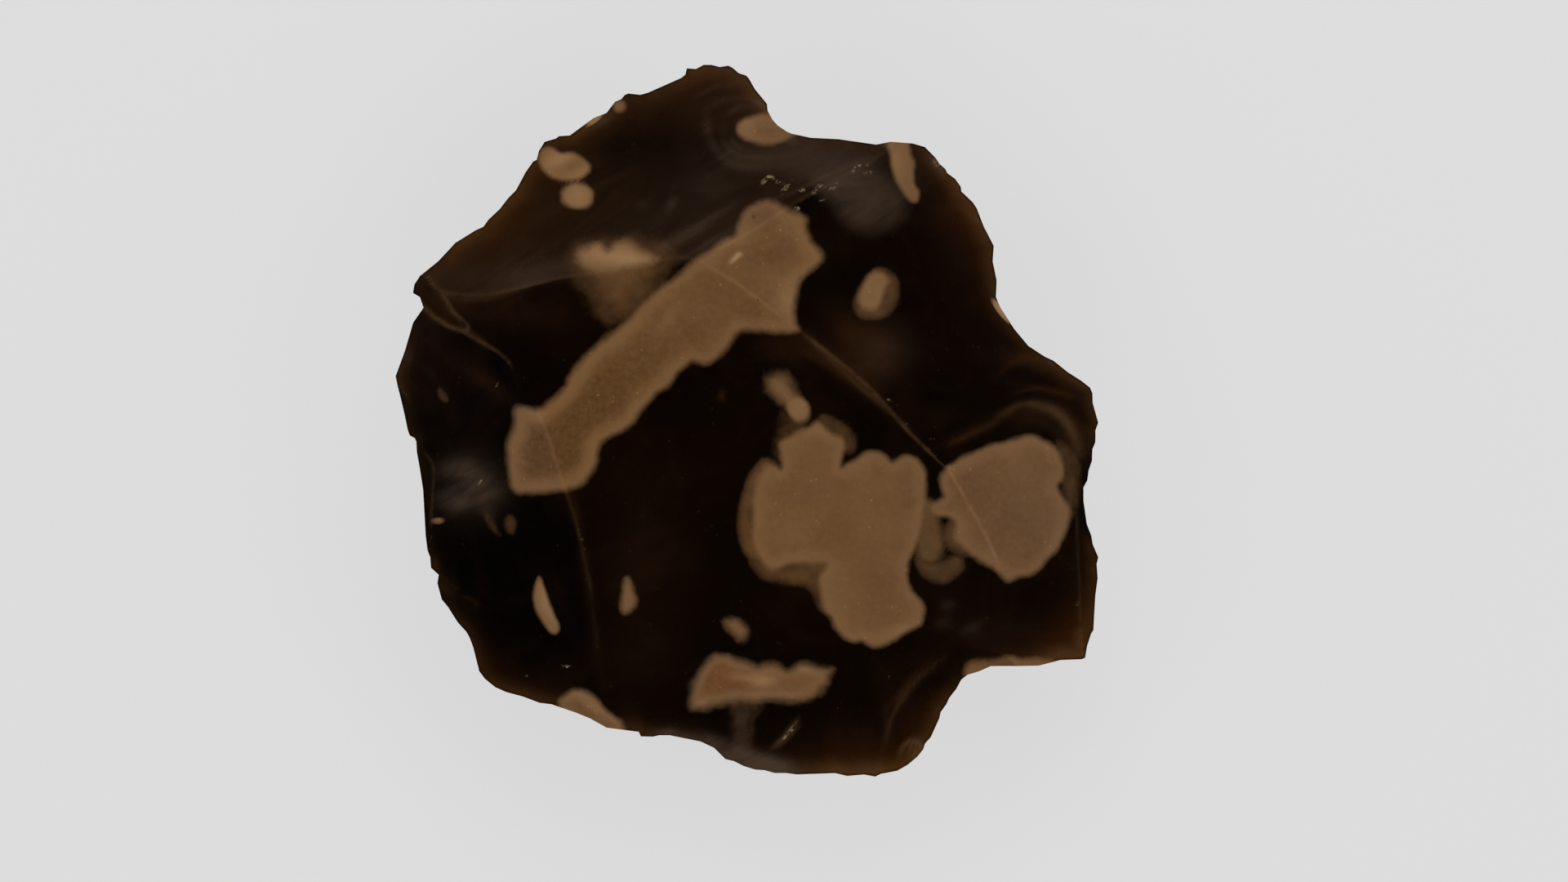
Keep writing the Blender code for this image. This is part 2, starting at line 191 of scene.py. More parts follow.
# %% Smooth sheets through points
def thin_plate(points):
    """The smoothest sheet through the points: a plane plus r squared times ln r for every point."""
    points = np.unique(np.array(points, float), axis=0)
    places, heights = points[:, :2], points[:, 2]

    def swell(x, y):
        """r squared times ln r, for every place (down) and every point (across)."""
        square = (x[:, None] - places[:, 0]) ** 2 + (y[:, None] - places[:, 1]) ** 2
        return 0.5 * square * np.log(square + 1e-9)

    count = len(points)
    plane = np.column_stack([np.ones(count), places])
    system = np.zeros((count + 3, count + 3))
    system[:count, :count] = swell(places[:, 0], places[:, 1])
    system[:count, count:] = plane
    system[count:, :count] = plane.T
    weights = np.linalg.solve(system, np.append(heights, [0, 0, 0]))

    def height(x, y):
        """The swells, each times its weight, and the plane."""
        level, along_x, along_y = weights[count:]
        return swell(x, y) @ weights[:count] + level + along_x * x + along_y * y

    return height


DISH_RISE = 3.0  # millimetres past its reach at which a small scar has risen by as much


def dish(points, centre, reach):
    """A small scar: the sheet through its points, plus distance past the reach, squared, over a rise."""
    sheet = thin_plate(points)

    def height(x, y):
        """The sheet and its rise past the reach."""
        past = np.maximum(np.hypot(x - centre[0], y - centre[1]) - reach, 0)
        return sheet(x, y) + past**2 / DISH_RISE

    return height


MIDDLE = np.zeros(1), np.zeros(1)  # one place to try the functions at
tilted = thin_plate([(-1, -1, 0), (-1, 1, 0), (1, -1, 1), (1, 1, 1)])
print("a sheet on a slope, at its middle:", round(float(tilted(*MIDDLE)[0]), 3))

# %% [markdown]
# ## Ridges, read one by one
#
# A ridge belongs to two scars at once, so its points are written once and given to both. Their places
# follow the photo. Their heights are a guess: the ridges rise to 35 mm near the middle and fall away
# to the edge.

# %% The ridges: x, y and height above the ground
UPPER_RIDGE = [
    (-43.5, 18.3, 28.0), (-38, 17.8, 29.4), (-30, 19.3, 31.0), (-25, 20.4, 31.9), (-20, 20.9, 32.8),
    (-15, 21.7, 33.6), (-12, 22.7, 34.0), (-7, 22.8, 34.6),
]
MIDDLE_RIDGE = [
    (-7, 22.8, 34.6), (-4.6, 21.3, 34.8), (0, 18.3, 35.0), (5, 14.4, 35.2), (10, 10.6, 35.1),
    (17, 4.8, 34.6), (23, -1.8, 33.9), (28.3, -6.7, 33.1),
]
RIGHT_RIDGE = [(28.3, -6.7, 33.1), (31, -11.5, 32.0), (35, -19, 29.9), (37.5, -26, 27.8), (38, -30, 26.6)]
CREST_RIDGE = [
    (-7, 22.8, 34.6), (-3, 24.8, 34.2), (3, 28.2, 33.3), (9, 32, 32.0), (14.5, 35, 30.3),
    (20, 38.5, 28.2),
]
LEFT_RIDGE = [
    (-44.5, 16.3, 27.4), (-42, 13.8, 28.4), (-38.5, 11.6, 29.6), (-34, 8.6, 31.0), (-32, 5, 31.6),
    (-29, 0, 32.0), (-26.5, -7.5, 31.9), (-24.3, -14, 31.3), (-22.3, -23, 29.8), (-21.3, -31, 28.1),
    (-20.5, -38.5, 26.2),
]
SOFT_RIDGE = [(28.3, -6.7, 33.1), (31, -2.4, 32.0), (36, 0.2, 29.9), (42, 2, 27.1), (48, 4.2, 23.8)]
LOBE_RIDGE = [(28, -34, 26.4), (24, -37.5, 26.5), (20.5, -42, 25.6), (19.5, -47, 24.2)]
print("highest ridge point, mm:", max(height for _, _, height in MIDDLE_RIDGE))

# %% [markdown]
# ## Scars, each with its ridges and its floor
#
# A broad scar is listed with the ridges that bound it and with floor points that make it hollow. The
# sheet of a small scar would run on over the whole stone. So a small scar, further below, also has a
# centre and a reach, past which it rises fast and is no longer the lowest.

# %% Broad scars: ridges, then floor points
BROAD_SCARS = {
    "central": (
        [UPPER_RIDGE, MIDDLE_RIDGE, RIGHT_RIDGE, LEFT_RIDGE, LOBE_RIDGE],
        [(-15, 8, 31.9), (0, 2, 32.0), (-8, -12, 30.3), (10, -12, 30.5), (0, -28, 27.9), (22, -22, 29.6),
         (-12, -38, 25.8), (4, -42, 25.2), (-12, -45, 24.0), (5, -50.3, 23.0), (16, -49, 23.6),
         (34, -34, 25.6)],
    ),
    "upper left": (
        [UPPER_RIDGE, CREST_RIDGE],
        [(-40, 26, 26.2), (-30, 37, 24.2), (-18, 46, 22.8), (-6, 50, 22.2), (2, 46, 23.4), (10, 40, 26.6),
         (-28, 27, 28.8), (-14, 33, 29.4), (-4, 39, 27.6), (-20, 38, 26.4)],
    ),
    "right": (
        [MIDDLE_RIDGE, CREST_RIDGE, SOFT_RIDGE],
        [(25, 38.5, 26.4), (32, 30.5, 25.2), (35, 21, 25.4), (37, 14, 25.4), (43, 8.5, 24.6),
         (14, 24, 32.0), (23, 15, 31.4), (28, 7, 31.4), (24, 28, 29.6)],
    ),
    "lower right": (
        [RIGHT_RIDGE, SOFT_RIDGE],
        [(49.5, -2, 22.8), (47, -10, 25.1), (46.9, -18, 25.4), (47.3, -26, 25.0), (48, -33.8, 23.9),
         (38, -34, 25.2), (38, -7, 30.2), (42, -16, 27.9), (42, -27, 26.2)],
    ),
    "left": (
        [LEFT_RIDGE],
        [(-49.8, 6, 22.6), (-48.3, -1, 23.4), (-44.9, -10, 25.1), (-45.2, -18, 24.9), (-43, -25.5, 24.0),
         (-39.5, -30.8, 23.8), (-36, -38, 23.0), (-28, -40.3, 23.9), (-21.5, -43, 24.4), (-38, 2, 28.6),
         (-33, -10, 29.3), (-32, -26, 27.6)],
    ),
}
print("broad scars:", len(BROAD_SCARS))

# %% [markdown]
# Four small scars lie at the edge: a sliver at the left corner, a lobe at the lower right, and a narrow
# flank on each side. The sliver's points are close together, because its outline is finely drawn in the
# photo.

# %% Small scars: points, centre, reach
SMALL_SCARS = {
    "corner sliver": (
        [(-45.6, 21, 26.61), (-44.2, 18.9, 27.64), (-43.1, 17.6, 28.04), (-41.6, 15.3, 28.46),
         (-39.6, 12.9, 29.19), (-46.5, 17.3, 26.47), (-45.6, 15.8, 26.72), (-43.6, 14.2, 27.59),
         (-41.3, 13.1, 28.62), (-46.3, 19.3, 26.51), (-44.7, 17.4, 27.01), (-43.2, 15.8, 27.47),
         (-41.6, 14.2, 28.26), (-40.4, 13.3, 28.84), (-42.6, 20.4, 28.07), (-41, 18, 29.24),
         (-39.6, 15.6, 29.65), (-44.6, 12.6, 27.33), (-42, 11.8, 28.61), (-39.4, 11.4, 29.77),
         (-37.6, 11.8, 30.43)],
        (-43, 16), 5,
    ),
    "lobe": (
        LOBE_RIDGE + [(29.5, -38.5, 23.8), (26, -45.3, 22.4), (22, -49.5, 22.0), (25, -41, 24.6)],
        (28, -43), 10,
    ),
    "right flank": (
        [(46.9, -11.5, 25.2), (46.9, -18, 25.4), (47.3, -26, 25.0), (48, -33.8, 23.9),
         (48.4, -11.5, 20.8), (50, -19.6, 17.6), (49.6, -29, 18.6), (49, -33.9, 21.0)],
        (60, -22), 18,
    ),
    "left flank": (
        [(-46.4, -3.6, 24.4), (-44.9, -6, 25.0), (-44.9, -14, 25.2), (-45.2, -18, 24.9),
         (-47.4, -3.2, 21.2), (-46.3, -10, 21.4), (-46.2, -17, 22.0)],
        (-58, -11), 14,
    ),
}
SCAR_NAMES = list(BROAD_SCARS) + list(SMALL_SCARS)
sheets = [thin_plate(sum(ridges, []) + floor) for ridges, floor in BROAD_SCARS.values()]
sheets += [dish(points, centre, reach) for points, centre, reach in SMALL_SCARS.values()]


def all_scars(x, y):
    """The heights of every scar's sheet at each place, one row for each scar."""
    return np.array([sheet(x, y) for sheet in sheets])


print("scars of the flaking face:", len(SCAR_NAMES))

# %% [markdown]
# ## Ridges that stay sharp
#
# A grid cuts across the ridges, which would then look like saw teeth. So every corner that lies within
# half a cell of a ridge is moved onto it. How far that is follows from the gap between the two lowest
# scars, divided by how fast the gap opens. The same sum gives each corner's distance from its ridge,
# which the material uses to draw a painted highlight along it.

# %% The gap between the two lowest scars
GAP_STEP = 0.01  # how far aside the gap is measured again


def ridge_gap(x, y):
    """The lowest scar, the gap to the next one, and how fast that gap opens along x and along y."""
    here, right, ahead = all_scars(x, y), all_scars(x + GAP_STEP, y), all_scars(x, y + GAP_STEP)
    lowest, second = np.argsort(here, axis=0)[:2]
    column = np.arange(len(x))
    gap = here[second, column] - here[lowest, column]
    opens_x = (right[second, column] - right[lowest, column] - gap) / GAP_STEP
    opens_y = (ahead[second, column] - ahead[lowest, column] - gap) / GAP_STEP
    return lowest, gap, opens_x, opens_y


def onto_ridges(x, y, reach):
    """Corners within reach of a ridge move down the gap's own slope until the gap is nothing.

    The move is the gap times its slope, divided by the slope's square.
    """
    _, gap, opens_x, opens_y = ridge_gap(x, y)
    steepness = opens_x**2 + opens_y**2 + 1e-9
    near = gap / np.sqrt(steepness) < reach
    return x - near * gap * opens_x / steepness, y - near * gap * opens_y / steepness


print("gap at the middle, mm:", round(float(ridge_gap(*MIDDLE)[1][0]), 2))

# %% [markdown]
# The gap is curved, so one move lands a little beside the ridge. A second one, for the nearest corners
# alone, puts that right. Corners close to the edge stay, because the underside is sewn to them.

# %% Move corners onto the ridges and measure the distance from them
MOVE_REACHES = (0.25, 0.1)
STILL_CELLS = 3.5  # cells next to the edge whose corners stay
SLOWEST_OPENING = 0.02  # keeps the division safe where two scars hardly part
ON_RIDGE = 0.02

face_x, face_y = plan_x, plan_y
for reach in MOVE_REACHES:
    face_x, face_y = onto_ridges(face_x, face_y, reach)
inside = np.maximum(np.abs(across_grid), np.abs(up_grid)) < 1 - STILL_CELLS / GRID
face_x, face_y = np.where(inside, face_x, plan_x), np.where(inside, face_y, plan_y)
scar_here, gap, opens_x, opens_y = ridge_gap(face_x, face_y)
sharpness = np.hypot(opens_x, opens_y)
ridge_distance = gap / np.maximum(sharpness, SLOWEST_OPENING)
print("corners on a ridge:", int((ridge_distance < ON_RIDGE).sum()))

# %% [markdown]
# ## Ripples and small edge scars
#
# Flint breaks like glass. The shock that frees a flake leaves ripples in rings round the point that was
# struck, closer together near it. The thin edge also lost many tiny chips. Both are added as shallow
# shapes: a sine of the distance from the struck point, and small round dishes along the edge.

# %% Ripples of each broad scar
STRUCK_AT = {"central": (8, -66), "upper left": (-30, 52), "right": (52, 30), "lower right": (60, -24),
             "left": (-62, -8)}
RIPPLE_HEIGHT, RIPPLE_PITCH = 0.02, 1.0
RING_RATE = 3.2  # rings for each millimetre of the root of distance
WAVER, WAVER_SPAN_X, WAVER_SPAN_Y = 1.8, 7.0, 9.0  # how the rings stray from true circles


def ripples(x, y, point, height, pitch):
    """Height times the sine of the root of distance from the point: the rings widen as they run out."""
    away = np.hypot(x - point[0], y - point[1])
    stray = WAVER * np.sin(x / WAVER_SPAN_X + point[0]) * np.sin(y / WAVER_SPAN_Y + point[1])
    return height * np.sin(2 * np.pi * (np.sqrt(away) * RING_RATE / pitch) + stray)


print("rings between 10 and 60 mm:", round((60**0.5 - 10**0.5) * RING_RATE / RIPPLE_PITCH))

# %% [markdown]
# The chips are strewn by a seeded generator, so they come out the same every time. Three larger ones
# that the photo shows at the lower edge are listed one by one.

# %% Chips along the edge
rng = np.random.default_rng(17)
EDGE_CHIPS = 75
CHIP_SIZES, CHIP_DEPTHS = (0.7, 1.9), (0.08, 0.3)
CHIP_OUTWARD = 1.004  # their centres lie just past the edge
SEEN_CHIPS = [(23.6, -47.2, 2.6, 0.35), (-42.2, -23.4, 1.6, 0.3), (-39.4, -26, 1.2, 0.25)]


def dishes(x, y, rows):
    """The deepest of many round dishes: depth times one minus the square of distance over size."""
    cut = np.zeros(len(x))
    for centre_x, centre_y, size, depth in rows:
        square = ((x - centre_x) ** 2 + (y - centre_y) ** 2) / size**2
        cut = np.maximum(cut, depth * np.maximum(1 - square, 0))
    return cut


def strewn(places, sizes, depths):
    """A row of x, y, size and depth for each place, with sizes and depths spread evenly by chance."""
    count = len(places)
    return np.column_stack([places, rng.uniform(*sizes, count), rng.uniform(*depths, count)])


picked = rng.integers(0, len(ring), EDGE_CHIPS)
edge_chips = np.concatenate([strewn(ring[picked] * CHIP_OUTWARD, CHIP_SIZES, CHIP_DEPTHS), SEEN_CHIPS])


def flaking_face(x, y):
    """The lowest scar, each with its ripples taken off, less the chips along the edge."""
    heights = all_scars(x, y)
    for row, name in enumerate(BROAD_SCARS):
        heights[row] += ripples(x, y, STRUCK_AT[name], RIPPLE_HEIGHT, RIPPLE_PITCH) - 2 * RIPPLE_HEIGHT
    return heights.min(axis=0) - dishes(x, y, edge_chips)


face_z = flaking_face(face_x, face_y)
edge_z = flaking_face(ring[:, 0], ring[:, 1])
print("flaking face, mm:", round(float(face_z.min()), 1), "to", round(float(face_z.max()), 1))

# %% [markdown]
# ## The underside
#
# All round the edge, short steep flakes were struck downwards to make the striking platform. They cut
# upwards into the stone, so here the surface is the highest of the scars. Further in are older,
# flatter scars, and in the middle the stone's own skin, the cortex, is left. It is flat under the
# middle, where the stone rests. The photo can't show this side, so its layout is a usual one.

# %% Sizes of the platform scars, inner scars and cortex
CORTEX_CENTRE = (1.0, -1.0)
CORTEX_SLOPE, CORTEX_CURL, FLAT_SPOT = 0.3, 14.0, 14.0
LUMP_HEIGHT, LUMP_FADE = 0.45, 6.0
EDGE_LEVEL, LEVEL_REACH, BULB_REACH = 24.0, 12.0, 3.0
UNDER_RIPPLE_HEIGHT, UNDER_RIPPLE_PITCH, RIPPLE_START = 0.035, 0.8, 4.0
STRIKE_OUTWARD = 1.03  # the rings spread from just past the edge
BURIED = -50.0  # so low that it never shows
# direction in degrees, turn of the middle line, breadth, slope in degrees, depth of the hollow
PLATFORM_SCARS = [
    (6, 8, 19, 56, 1.2), (29, -12, 15, 62, 1.0), (50, 6, 22, 54, 1.5), (71, 14, 16, 61, 1.1),
    (90, -9, 17, 57, 1.4), (113, 5, 24, 55, 1.3), (134, -14, 16, 63, 0.9), (158, 9, 20, 53, 1.5),
    (184, -6, 23, 60, 1.3), (208, 12, 18, 56, 1.1), (231, -10, 16, 63, 1.4), (252, 4, 21, 54, 1.2),
    (277, -13, 24, 59, 1.5), (300, 10, 16, 56, 1.1), (318, -5, 18, 62, 1.3), (340, 7, 22, 55, 1.2),
]
# direction, turn, breadth, slope, and how far below the edge each starts
INNER_SCARS = [
    (18, 10, 34, 30, 7.5), (66, -14, 30, 27, 9.0), (112, 8, 38, 32, 7.0), (160, -9, 31, 28, 8.5),
    (206, 12, 36, 31, 7.0), (255, -12, 32, 26, 9.5), (305, 9, 35, 30, 8.0),
]
print("scars of the underside:", len(PLATFORM_SCARS) + len(INNER_SCARS))

# %% [markdown]
# Two shapes make the underside. The skin is a shallow bowl round the flat spot, with lumps. The scars
# fall from the edge by how far in a place lies, each least along its own middle line, so that two
# neighbours meet in a ridge that stands out below.

# %% Distance from the edge, the skin and the platform
def to_span(x, y, start, end):
    """Distance to a straight span, and the share of it, 0 to 1, at which its nearest point lies."""
    span = end - start
    share = np.clip(((x - start[0]) * span[0] + (y - start[1]) * span[1]) / (span @ span), 0, 1)
    return np.hypot(x - start[0] - share * span[0], y - start[1] - share * span[1]), share


def distance_in(x, y, points):
    """The least of the distances to the straight spans that join the points into a loop."""
    nearest = np.full(len(x), np.inf)
    for start, end in zip(points, np.roll(points, -1, axis=0)):
        nearest = np.minimum(nearest, to_span(x, y, start, end)[0])
    return nearest


def cortex_skin(x, y):
    """Flat in the middle, then a hyperbola curling up towards its slope, with lumps of crossed sines."""
    past = np.maximum(np.hypot(x - CORTEX_CENTRE[0], y - CORTEX_CENTRE[1]) - FLAT_SPOT, 0)
    bowl = CORTEX_SLOPE * (np.hypot(past, CORTEX_CURL) - CORTEX_CURL)
    lumps = 0.5 + 0.5 * np.sin(x / 2.3 + np.sin(y / 3.1)) * np.sin(y / 2.7 + 1.3 * np.sin(x / 4.3))
    return bowl + LUMP_HEIGHT * np.minimum(past / LUMP_FADE, 1) * lumps


def platform(x, y, inward, edge_height):
    """The highest scar: the edge's height, less slope times distance in, more to each side of a line."""
    level = EDGE_LEVEL + (edge_height - EDGE_LEVEL) * np.exp(-inward / LEVEL_REACH)
    bearings = np.arctan2(smooth_ring[:, 1], smooth_ring[:, 0])
    height = np.full(len(x), BURIED)
    rows = [(turn, skew, breadth, slope, 0, bulb) for turn, skew, breadth, slope, bulb in PLATFORM_SCARS]
    rows += [(turn, skew, breadth, slope, start, 0) for turn, skew, breadth, slope, start in INNER_SCARS]
    for turn, skew, breadth, slope, start, bulb in rows:
        struck = smooth_ring[np.argmax(np.cos(bearings - np.radians(turn)))]
        line = np.radians(turn + skew)
        aside = (x - struck[0]) * np.sin(line) - (y - struck[1]) * np.cos(line)
        fall = start + np.tan(np.radians(slope)) * inward - bulb * (1 - np.exp(-inward / BULB_REACH))
        fall = fall * (1 + (aside / breadth) ** 2)
        rings = ripples(x, y, struck * STRIKE_OUTWARD, UNDER_RIPPLE_HEIGHT, UNDER_RIPPLE_PITCH)
        rings = np.minimum(inward / RIPPLE_START, 1) * rings
        beyond = x * np.cos(line) + y * np.sin(line) < 0
        height = np.maximum(height, np.where(beyond, BURIED, level - fall + rings))
    return height


print("from the middle to the edge, mm:", round(float(distance_in(*MIDDLE, ring)[0]), 1))

# %% [markdown]
# The platform scars also lost small nicks close to the edge, which are dishes turned upside down. The
# skin shows where it is higher than the scars, so where no flake cut past it, and the difference of the
# two heights is kept for the material. At its border the underside takes the edge's own heights.

# %% Heights of the underside
NICKS = 150
NICK_INWARD, NICK_SIZES, NICK_DEPTHS = (0.95, 0.995), (1.2, 3.6), (0.25, 0.9)
NICK_FADE = 1.2
LEAST_THICKNESS = 0.05

inward = distance_in(plan_x, plan_y, ring[::2])
inward[border] = 0
rim_z = round_edge(edge_z, turn)
even_z = round_edge(evened(edge_z, passes), turn)
nick_picks = rng.integers(0, len(ring), NICKS)
nicks = strewn(smooth_ring[nick_picks] * rng.uniform(*NICK_INWARD, (NICKS, 1)), NICK_SIZES, NICK_DEPTHS)
scars_z = platform(plan_x, plan_y, inward, even_z)
scars_z += dishes(plan_x, plan_y, nicks) * (1 - np.exp(-inward / NICK_FADE))
skin_z = cortex_skin(plan_x, plan_y)
cortex_margin = skin_z - scars_z
under_z = np.maximum(scars_z, skin_z)
under_z = under_z + teeth * (rim_z - even_z) * (under_z > 0)
under_z = np.where(border, rim_z, np.minimum(under_z, face_z - LEAST_THICKNESS))
print("underside, mm:", round(float(under_z.min()), 2), "to", round(float(under_z.max()), 1))

# %% [markdown]
# ## Sewing the two sheets
#
# The flaking face and the underside share their border points, so the stone is closed at its edge with
# no seam. The face's cells run counter-clockwise as seen from above and the underside's the other way,
# which makes both point outwards.

# %% One mesh from two sheets
SHARP_DEGREES = 38  # edges that turn by more stay sharp


def stone_mesh():
    """Points of the face, then the underside's inner points. Each cell becomes one four-sided face.

    A cell's corners are numbers k, k + 1, k + side + 1 and k + side, with side the points in a row.
    """
    count = len(plan_x)
    own = np.cumsum(~border) - 1 + count
    under_index = np.where(border, np.arange(count), own)
    points = np.column_stack([face_x, face_y, face_z])
    points[border] = np.column_stack([plan_x, plan_y, face_z])[border]
    below = np.column_stack([plan_x, plan_y, under_z])[~border]
    corner = np.arange(count).reshape(GRID + 1, GRID + 1)
    cells = [corner[:-1, :-1], corner[:-1, 1:], corner[1:, 1:], corner[1:, :-1]]
    cells = np.stack(cells, axis=-1).reshape(-1, 4)
    faces = np.concatenate([cells, under_index[cells][:, ::-1]])
    mesh = bpy.data.meshes.new("levallois_core_stone")
    mesh.from_pydata((np.concatenate([points, below]) * MM).tolist(), [], faces.tolist())
    return mesh


face_z[border] = rim_z[border]
mesh = stone_mesh()
mesh.shade_smooth()
mesh.set_sharp_from_angle(angle=math.radians(SHARP_DEGREES))
stone = bpy.data.objects.new("levallois_core_stone", mesh)
bpy.context.scene.collection.objects.link(stone)
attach(stone, "root")
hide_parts("levallois_core")
print("stone:", len(mesh.vertices), "points,", 2 * len(mesh.polygons), "triangles")
point_x = np.concatenate([face_x, plan_x[~border]])
point_y = np.concatenate([face_y, plan_y[~border]])
point_z = np.concatenate([face_z, under_z[~border]])
on_face = np.arange(len(point_x)) < len(face_x)

# %% [markdown]
# ## Inclusions
#
# Flint grew round fossils and filled burrows, which show as pale beige bodies with crisp scalloped rims.
# Painting them by noise alone would put them anywhere. So each is drawn as a closed curve, and every
# point of the stone keeps its signed distance from that curve: above nothing inside, below nothing
# outside. The material turns the distance into a rim of any softness, finer than the grid.

# %% Closed curves and signed distance
def closed_curve(points, parts=3):
    """A cubic through the points: each span is bent by the chords of its neighbours (Catmull-Rom)."""
    p = np.array(points, float)
    before, after, later = np.roll(p, 1, axis=0), np.roll(p, -1, axis=0), np.roll(p, -2, axis=0)
    t = (np.arange(parts) / parts)[None, :, None]
    bent = 2 * p[:, None] + (after - before)[:, None] * t
    bent = bent + (2 * before - 5 * p + 4 * after - later)[:, None] * t**2
    bent = bent + (3 * p - before - 3 * after + later)[:, None] * t**3
    return (bent / 2).reshape(-1, 2)


def signed_distance(x, y, loop):
    """Distance to the nearest span of the loop, above nothing inside it by counting crossings."""
    away = distance_in(x, y, loop)
    within = np.zeros(len(x), bool)
    for (x0, y0), (x1, y1) in zip(loop, np.roll(loop, -1, axis=0)):
        if y0 != y1:
            crosses = (y0 > y) != (y1 > y)
            within ^= crosses & (x < x0 + (y - y0) * (x1 - x0) / (y1 - y0))
    return np.where(within, away, -away)


def oval(x, y, centre, radii, degrees=0.0):
    """About the signed distance from an oval: mean radius times one minus the scaled distance."""
    turned = math.radians(degrees)
    along = (x - centre[0]) * math.cos(turned) + (y - centre[1]) * math.sin(turned)
    aside = (y - centre[1]) * math.cos(turned) - (x - centre[0]) * math.sin(turned)
    return (1 - np.hypot(along / radii[0], aside / radii[1])) * (radii[0] + radii[1]) / 2


square = np.array([(-1, -1), (1, -1), (1, 1), (-1, 1)])
print("depth at the middle of a square, mm:", round(float(signed_distance(*MIDDLE, square)[0]), 2))

# %% [markdown]
# ## Pale bodies, read one by one
#
# Four large bodies and a dozen small ones show on the flaking face. Each is a list of points round its
# rim, closer together where the rim is scalloped, with the softness of the rim in front, because some
# rims are sharp and others fade over a millimetre.

# %% Large bodies: softness of the rim in millimetres, then the curve
BONE = (0.75, [
    (-7, 22.8), (-5.2, 24), (-3.5, 25.2), (-1.5, 26.2), (-1.3, 27.2), (-0.6, 28.6), (0.2, 29.8),
    (1.5, 30.6), (3, 31), (4.3, 30.4), (5.5, 29.8), (6.5, 29.5), (7.8, 28.9), (8.3, 28.3), (8.4, 26.8),
    (9.2, 25.3), (10, 24.3), (10.8, 23), (10, 22), (8.5, 20.9), (7.4, 19.8), (6.9, 18.2), (6.7, 16.5),
    (6.7, 15), (7, 13.5), (7.3, 12.7), (6, 12.3), (4, 12.3), (2, 12.6), (0, 12.8), (-1, 12.6),
    (-2, 11.8), (-3, 10.5), (-4.5, 9), (-6, 8.2), (-7.5, 8.4), (-8.5, 8), (-10, 6.5), (-11, 5),
    (-12.5, 4), (-14, 2.5), (-15.2, 1), (-16, -0.2), (-17.5, -1.5), (-19.5, -2.3), (-20.5, -3.2),
    (-21, -4.5), (-21.2, -6), (-22, -7.5), (-23, -8.7), (-24.5, -9.4), (-26, -9.8), (-28, -10.1),
    (-30, -10.2), (-32, -10.2), (-33, -9.7), (-33.5, -8.5), (-33.8, -6), (-34, -4), (-33.8, -2.8),
    (-33, -1), (-32.7, 0.5), (-32.6, 1.5), (-31.8, 1.8), (-30.5, 1.6), (-29.5, 1.5), (-28.5, 2),
    (-27, 3.5), (-25.5, 5), (-25, 6.3), (-24, 7.6), (-22.5, 9.5), (-21, 10.8), (-19.5, 12), (-18, 13.2),
    (-16.5, 14.5), (-15, 16), (-13.3, 17.8), (-11, 19.5), (-9.5, 20.8), (-8, 22),
])
CLOUD = (0.6, [
    (10, -0.3), (12, -1.9), (13.5, -2.6), (13.7, -4), (13.4, -5.5), (13.2, -6.7), (14, -6.2),
    (15.5, -5.2), (16.5, -4.6), (17.5, -4.4), (18.8, -4.6), (19.8, -5.4), (20.4, -5.9), (21.2, -5.6),
    (22.4, -5.1), (23.7, -5.4), (24.8, -6.6), (25.1, -8), (25, -10), (25, -12), (24.8, -14),
    (24.4, -16), (23.6, -18), (22.8, -19.6), (22.6, -21.5), (22.8, -23.3), (23.8, -24.8), (24.8, -26),
    (25, -27.4), (24.4, -28.9), (22.8, -29.7), (21.2, -30.8), (19.8, -31.7), (18.2, -32.1), (17, -31.8),
    (16.2, -31.3), (15, -31.5), (13.8, -31), (13, -30), (12.2, -28.8), (11.9, -27.9), (11, -27),
    (10.6, -25.6), (10.3, -24), (10, -22.5), (10.8, -21), (11.3, -20.2), (10, -20), (8, -20.2),
    (6, -20.4), (4.2, -20.9), (3.3, -21), (2.3, -20.2), (1.5, -19), (1.1, -17.5), (0.8, -15.5),
    (0.8, -13), (1, -11), (1.4, -9), (2.1, -7.4), (3, -6.6), (4, -6.5), (4.8, -6.8), (4.9, -5.3),
    (4.6, -3.5), (5.2, -2.8), (7, -1.8), (8.5, -1.3), (9.4, -0.7),
])
RIGHT_BODY = (0.62, [
    (27.5, -7.7), (28.5, -6.5), (30, -5.4), (32, -4.8), (34.6, -3.7), (37, -2.9), (39, -2.2),
    (40.5, -2.1), (42, -2.7), (43.5, -3.8), (44.4, -5), (44.8, -6.8), (44.6, -8.2), (43.9, -9.3),
    (44.5, -10.5), (45.4, -12), (45.6, -13.5), (45.1, -15.5), (44.6, -16.8), (43.6, -18.5),
    (42.2, -19.6), (41.5, -20.6), (40.3, -21.6), (38.5, -22), (37, -22.7), (36, -22), (34.5, -20.8),
    (32.5, -19.5), (31.2, -18.3), (30.2, -17.4), (29.3, -16.5), (29.4, -14.4), (28.2, -13.6),
    (27, -13.4), (26.1, -12.8), (26.2, -12), (27, -11.5), (28, -10.8), (27.6, -9.5), (27.4, -8.5),
])
T_BAR = (0.95, [
    (-7.7, -40.5), (-7.9, -38.8), (-7.6, -37.1), (-6.6, -35.1), (-5.4, -33.7), (-4.2, -33.1),
    (-2.7, -33.3), (-1.5, -34), (0.4, -34.4), (1.4, -35), (2.6, -34.6), (4.4, -34.7), (5.6, -35.4),
    (6.6, -35), (7.7, -34.4), (9.2, -34.6), (10.4, -35.2), (12.3, -35.1), (11.6, -36.3), (11.1, -37.4),
    (9.9, -38.7), (8.5, -39.4), (6.2, -39.7), (2.8, -39.5), (-1, -39.4), (-3.5, -39.9), (-4.9, -40.2),
    (-5.9, -40.7), (-7.1, -40.7),
])
LARGE_BODIES = [BONE, CLOUD, RIGHT_BODY, T_BAR]
print("large bodies:", len(LARGE_BODIES), "points:", sum(len(points) for _, points in LARGE_BODIES))

# %% [markdown]
# The small bodies are written in the same way. Where one is a plain oval, two radii and a turn are
# enough. Some of them are cut by the edge, and their points simply run on past it.

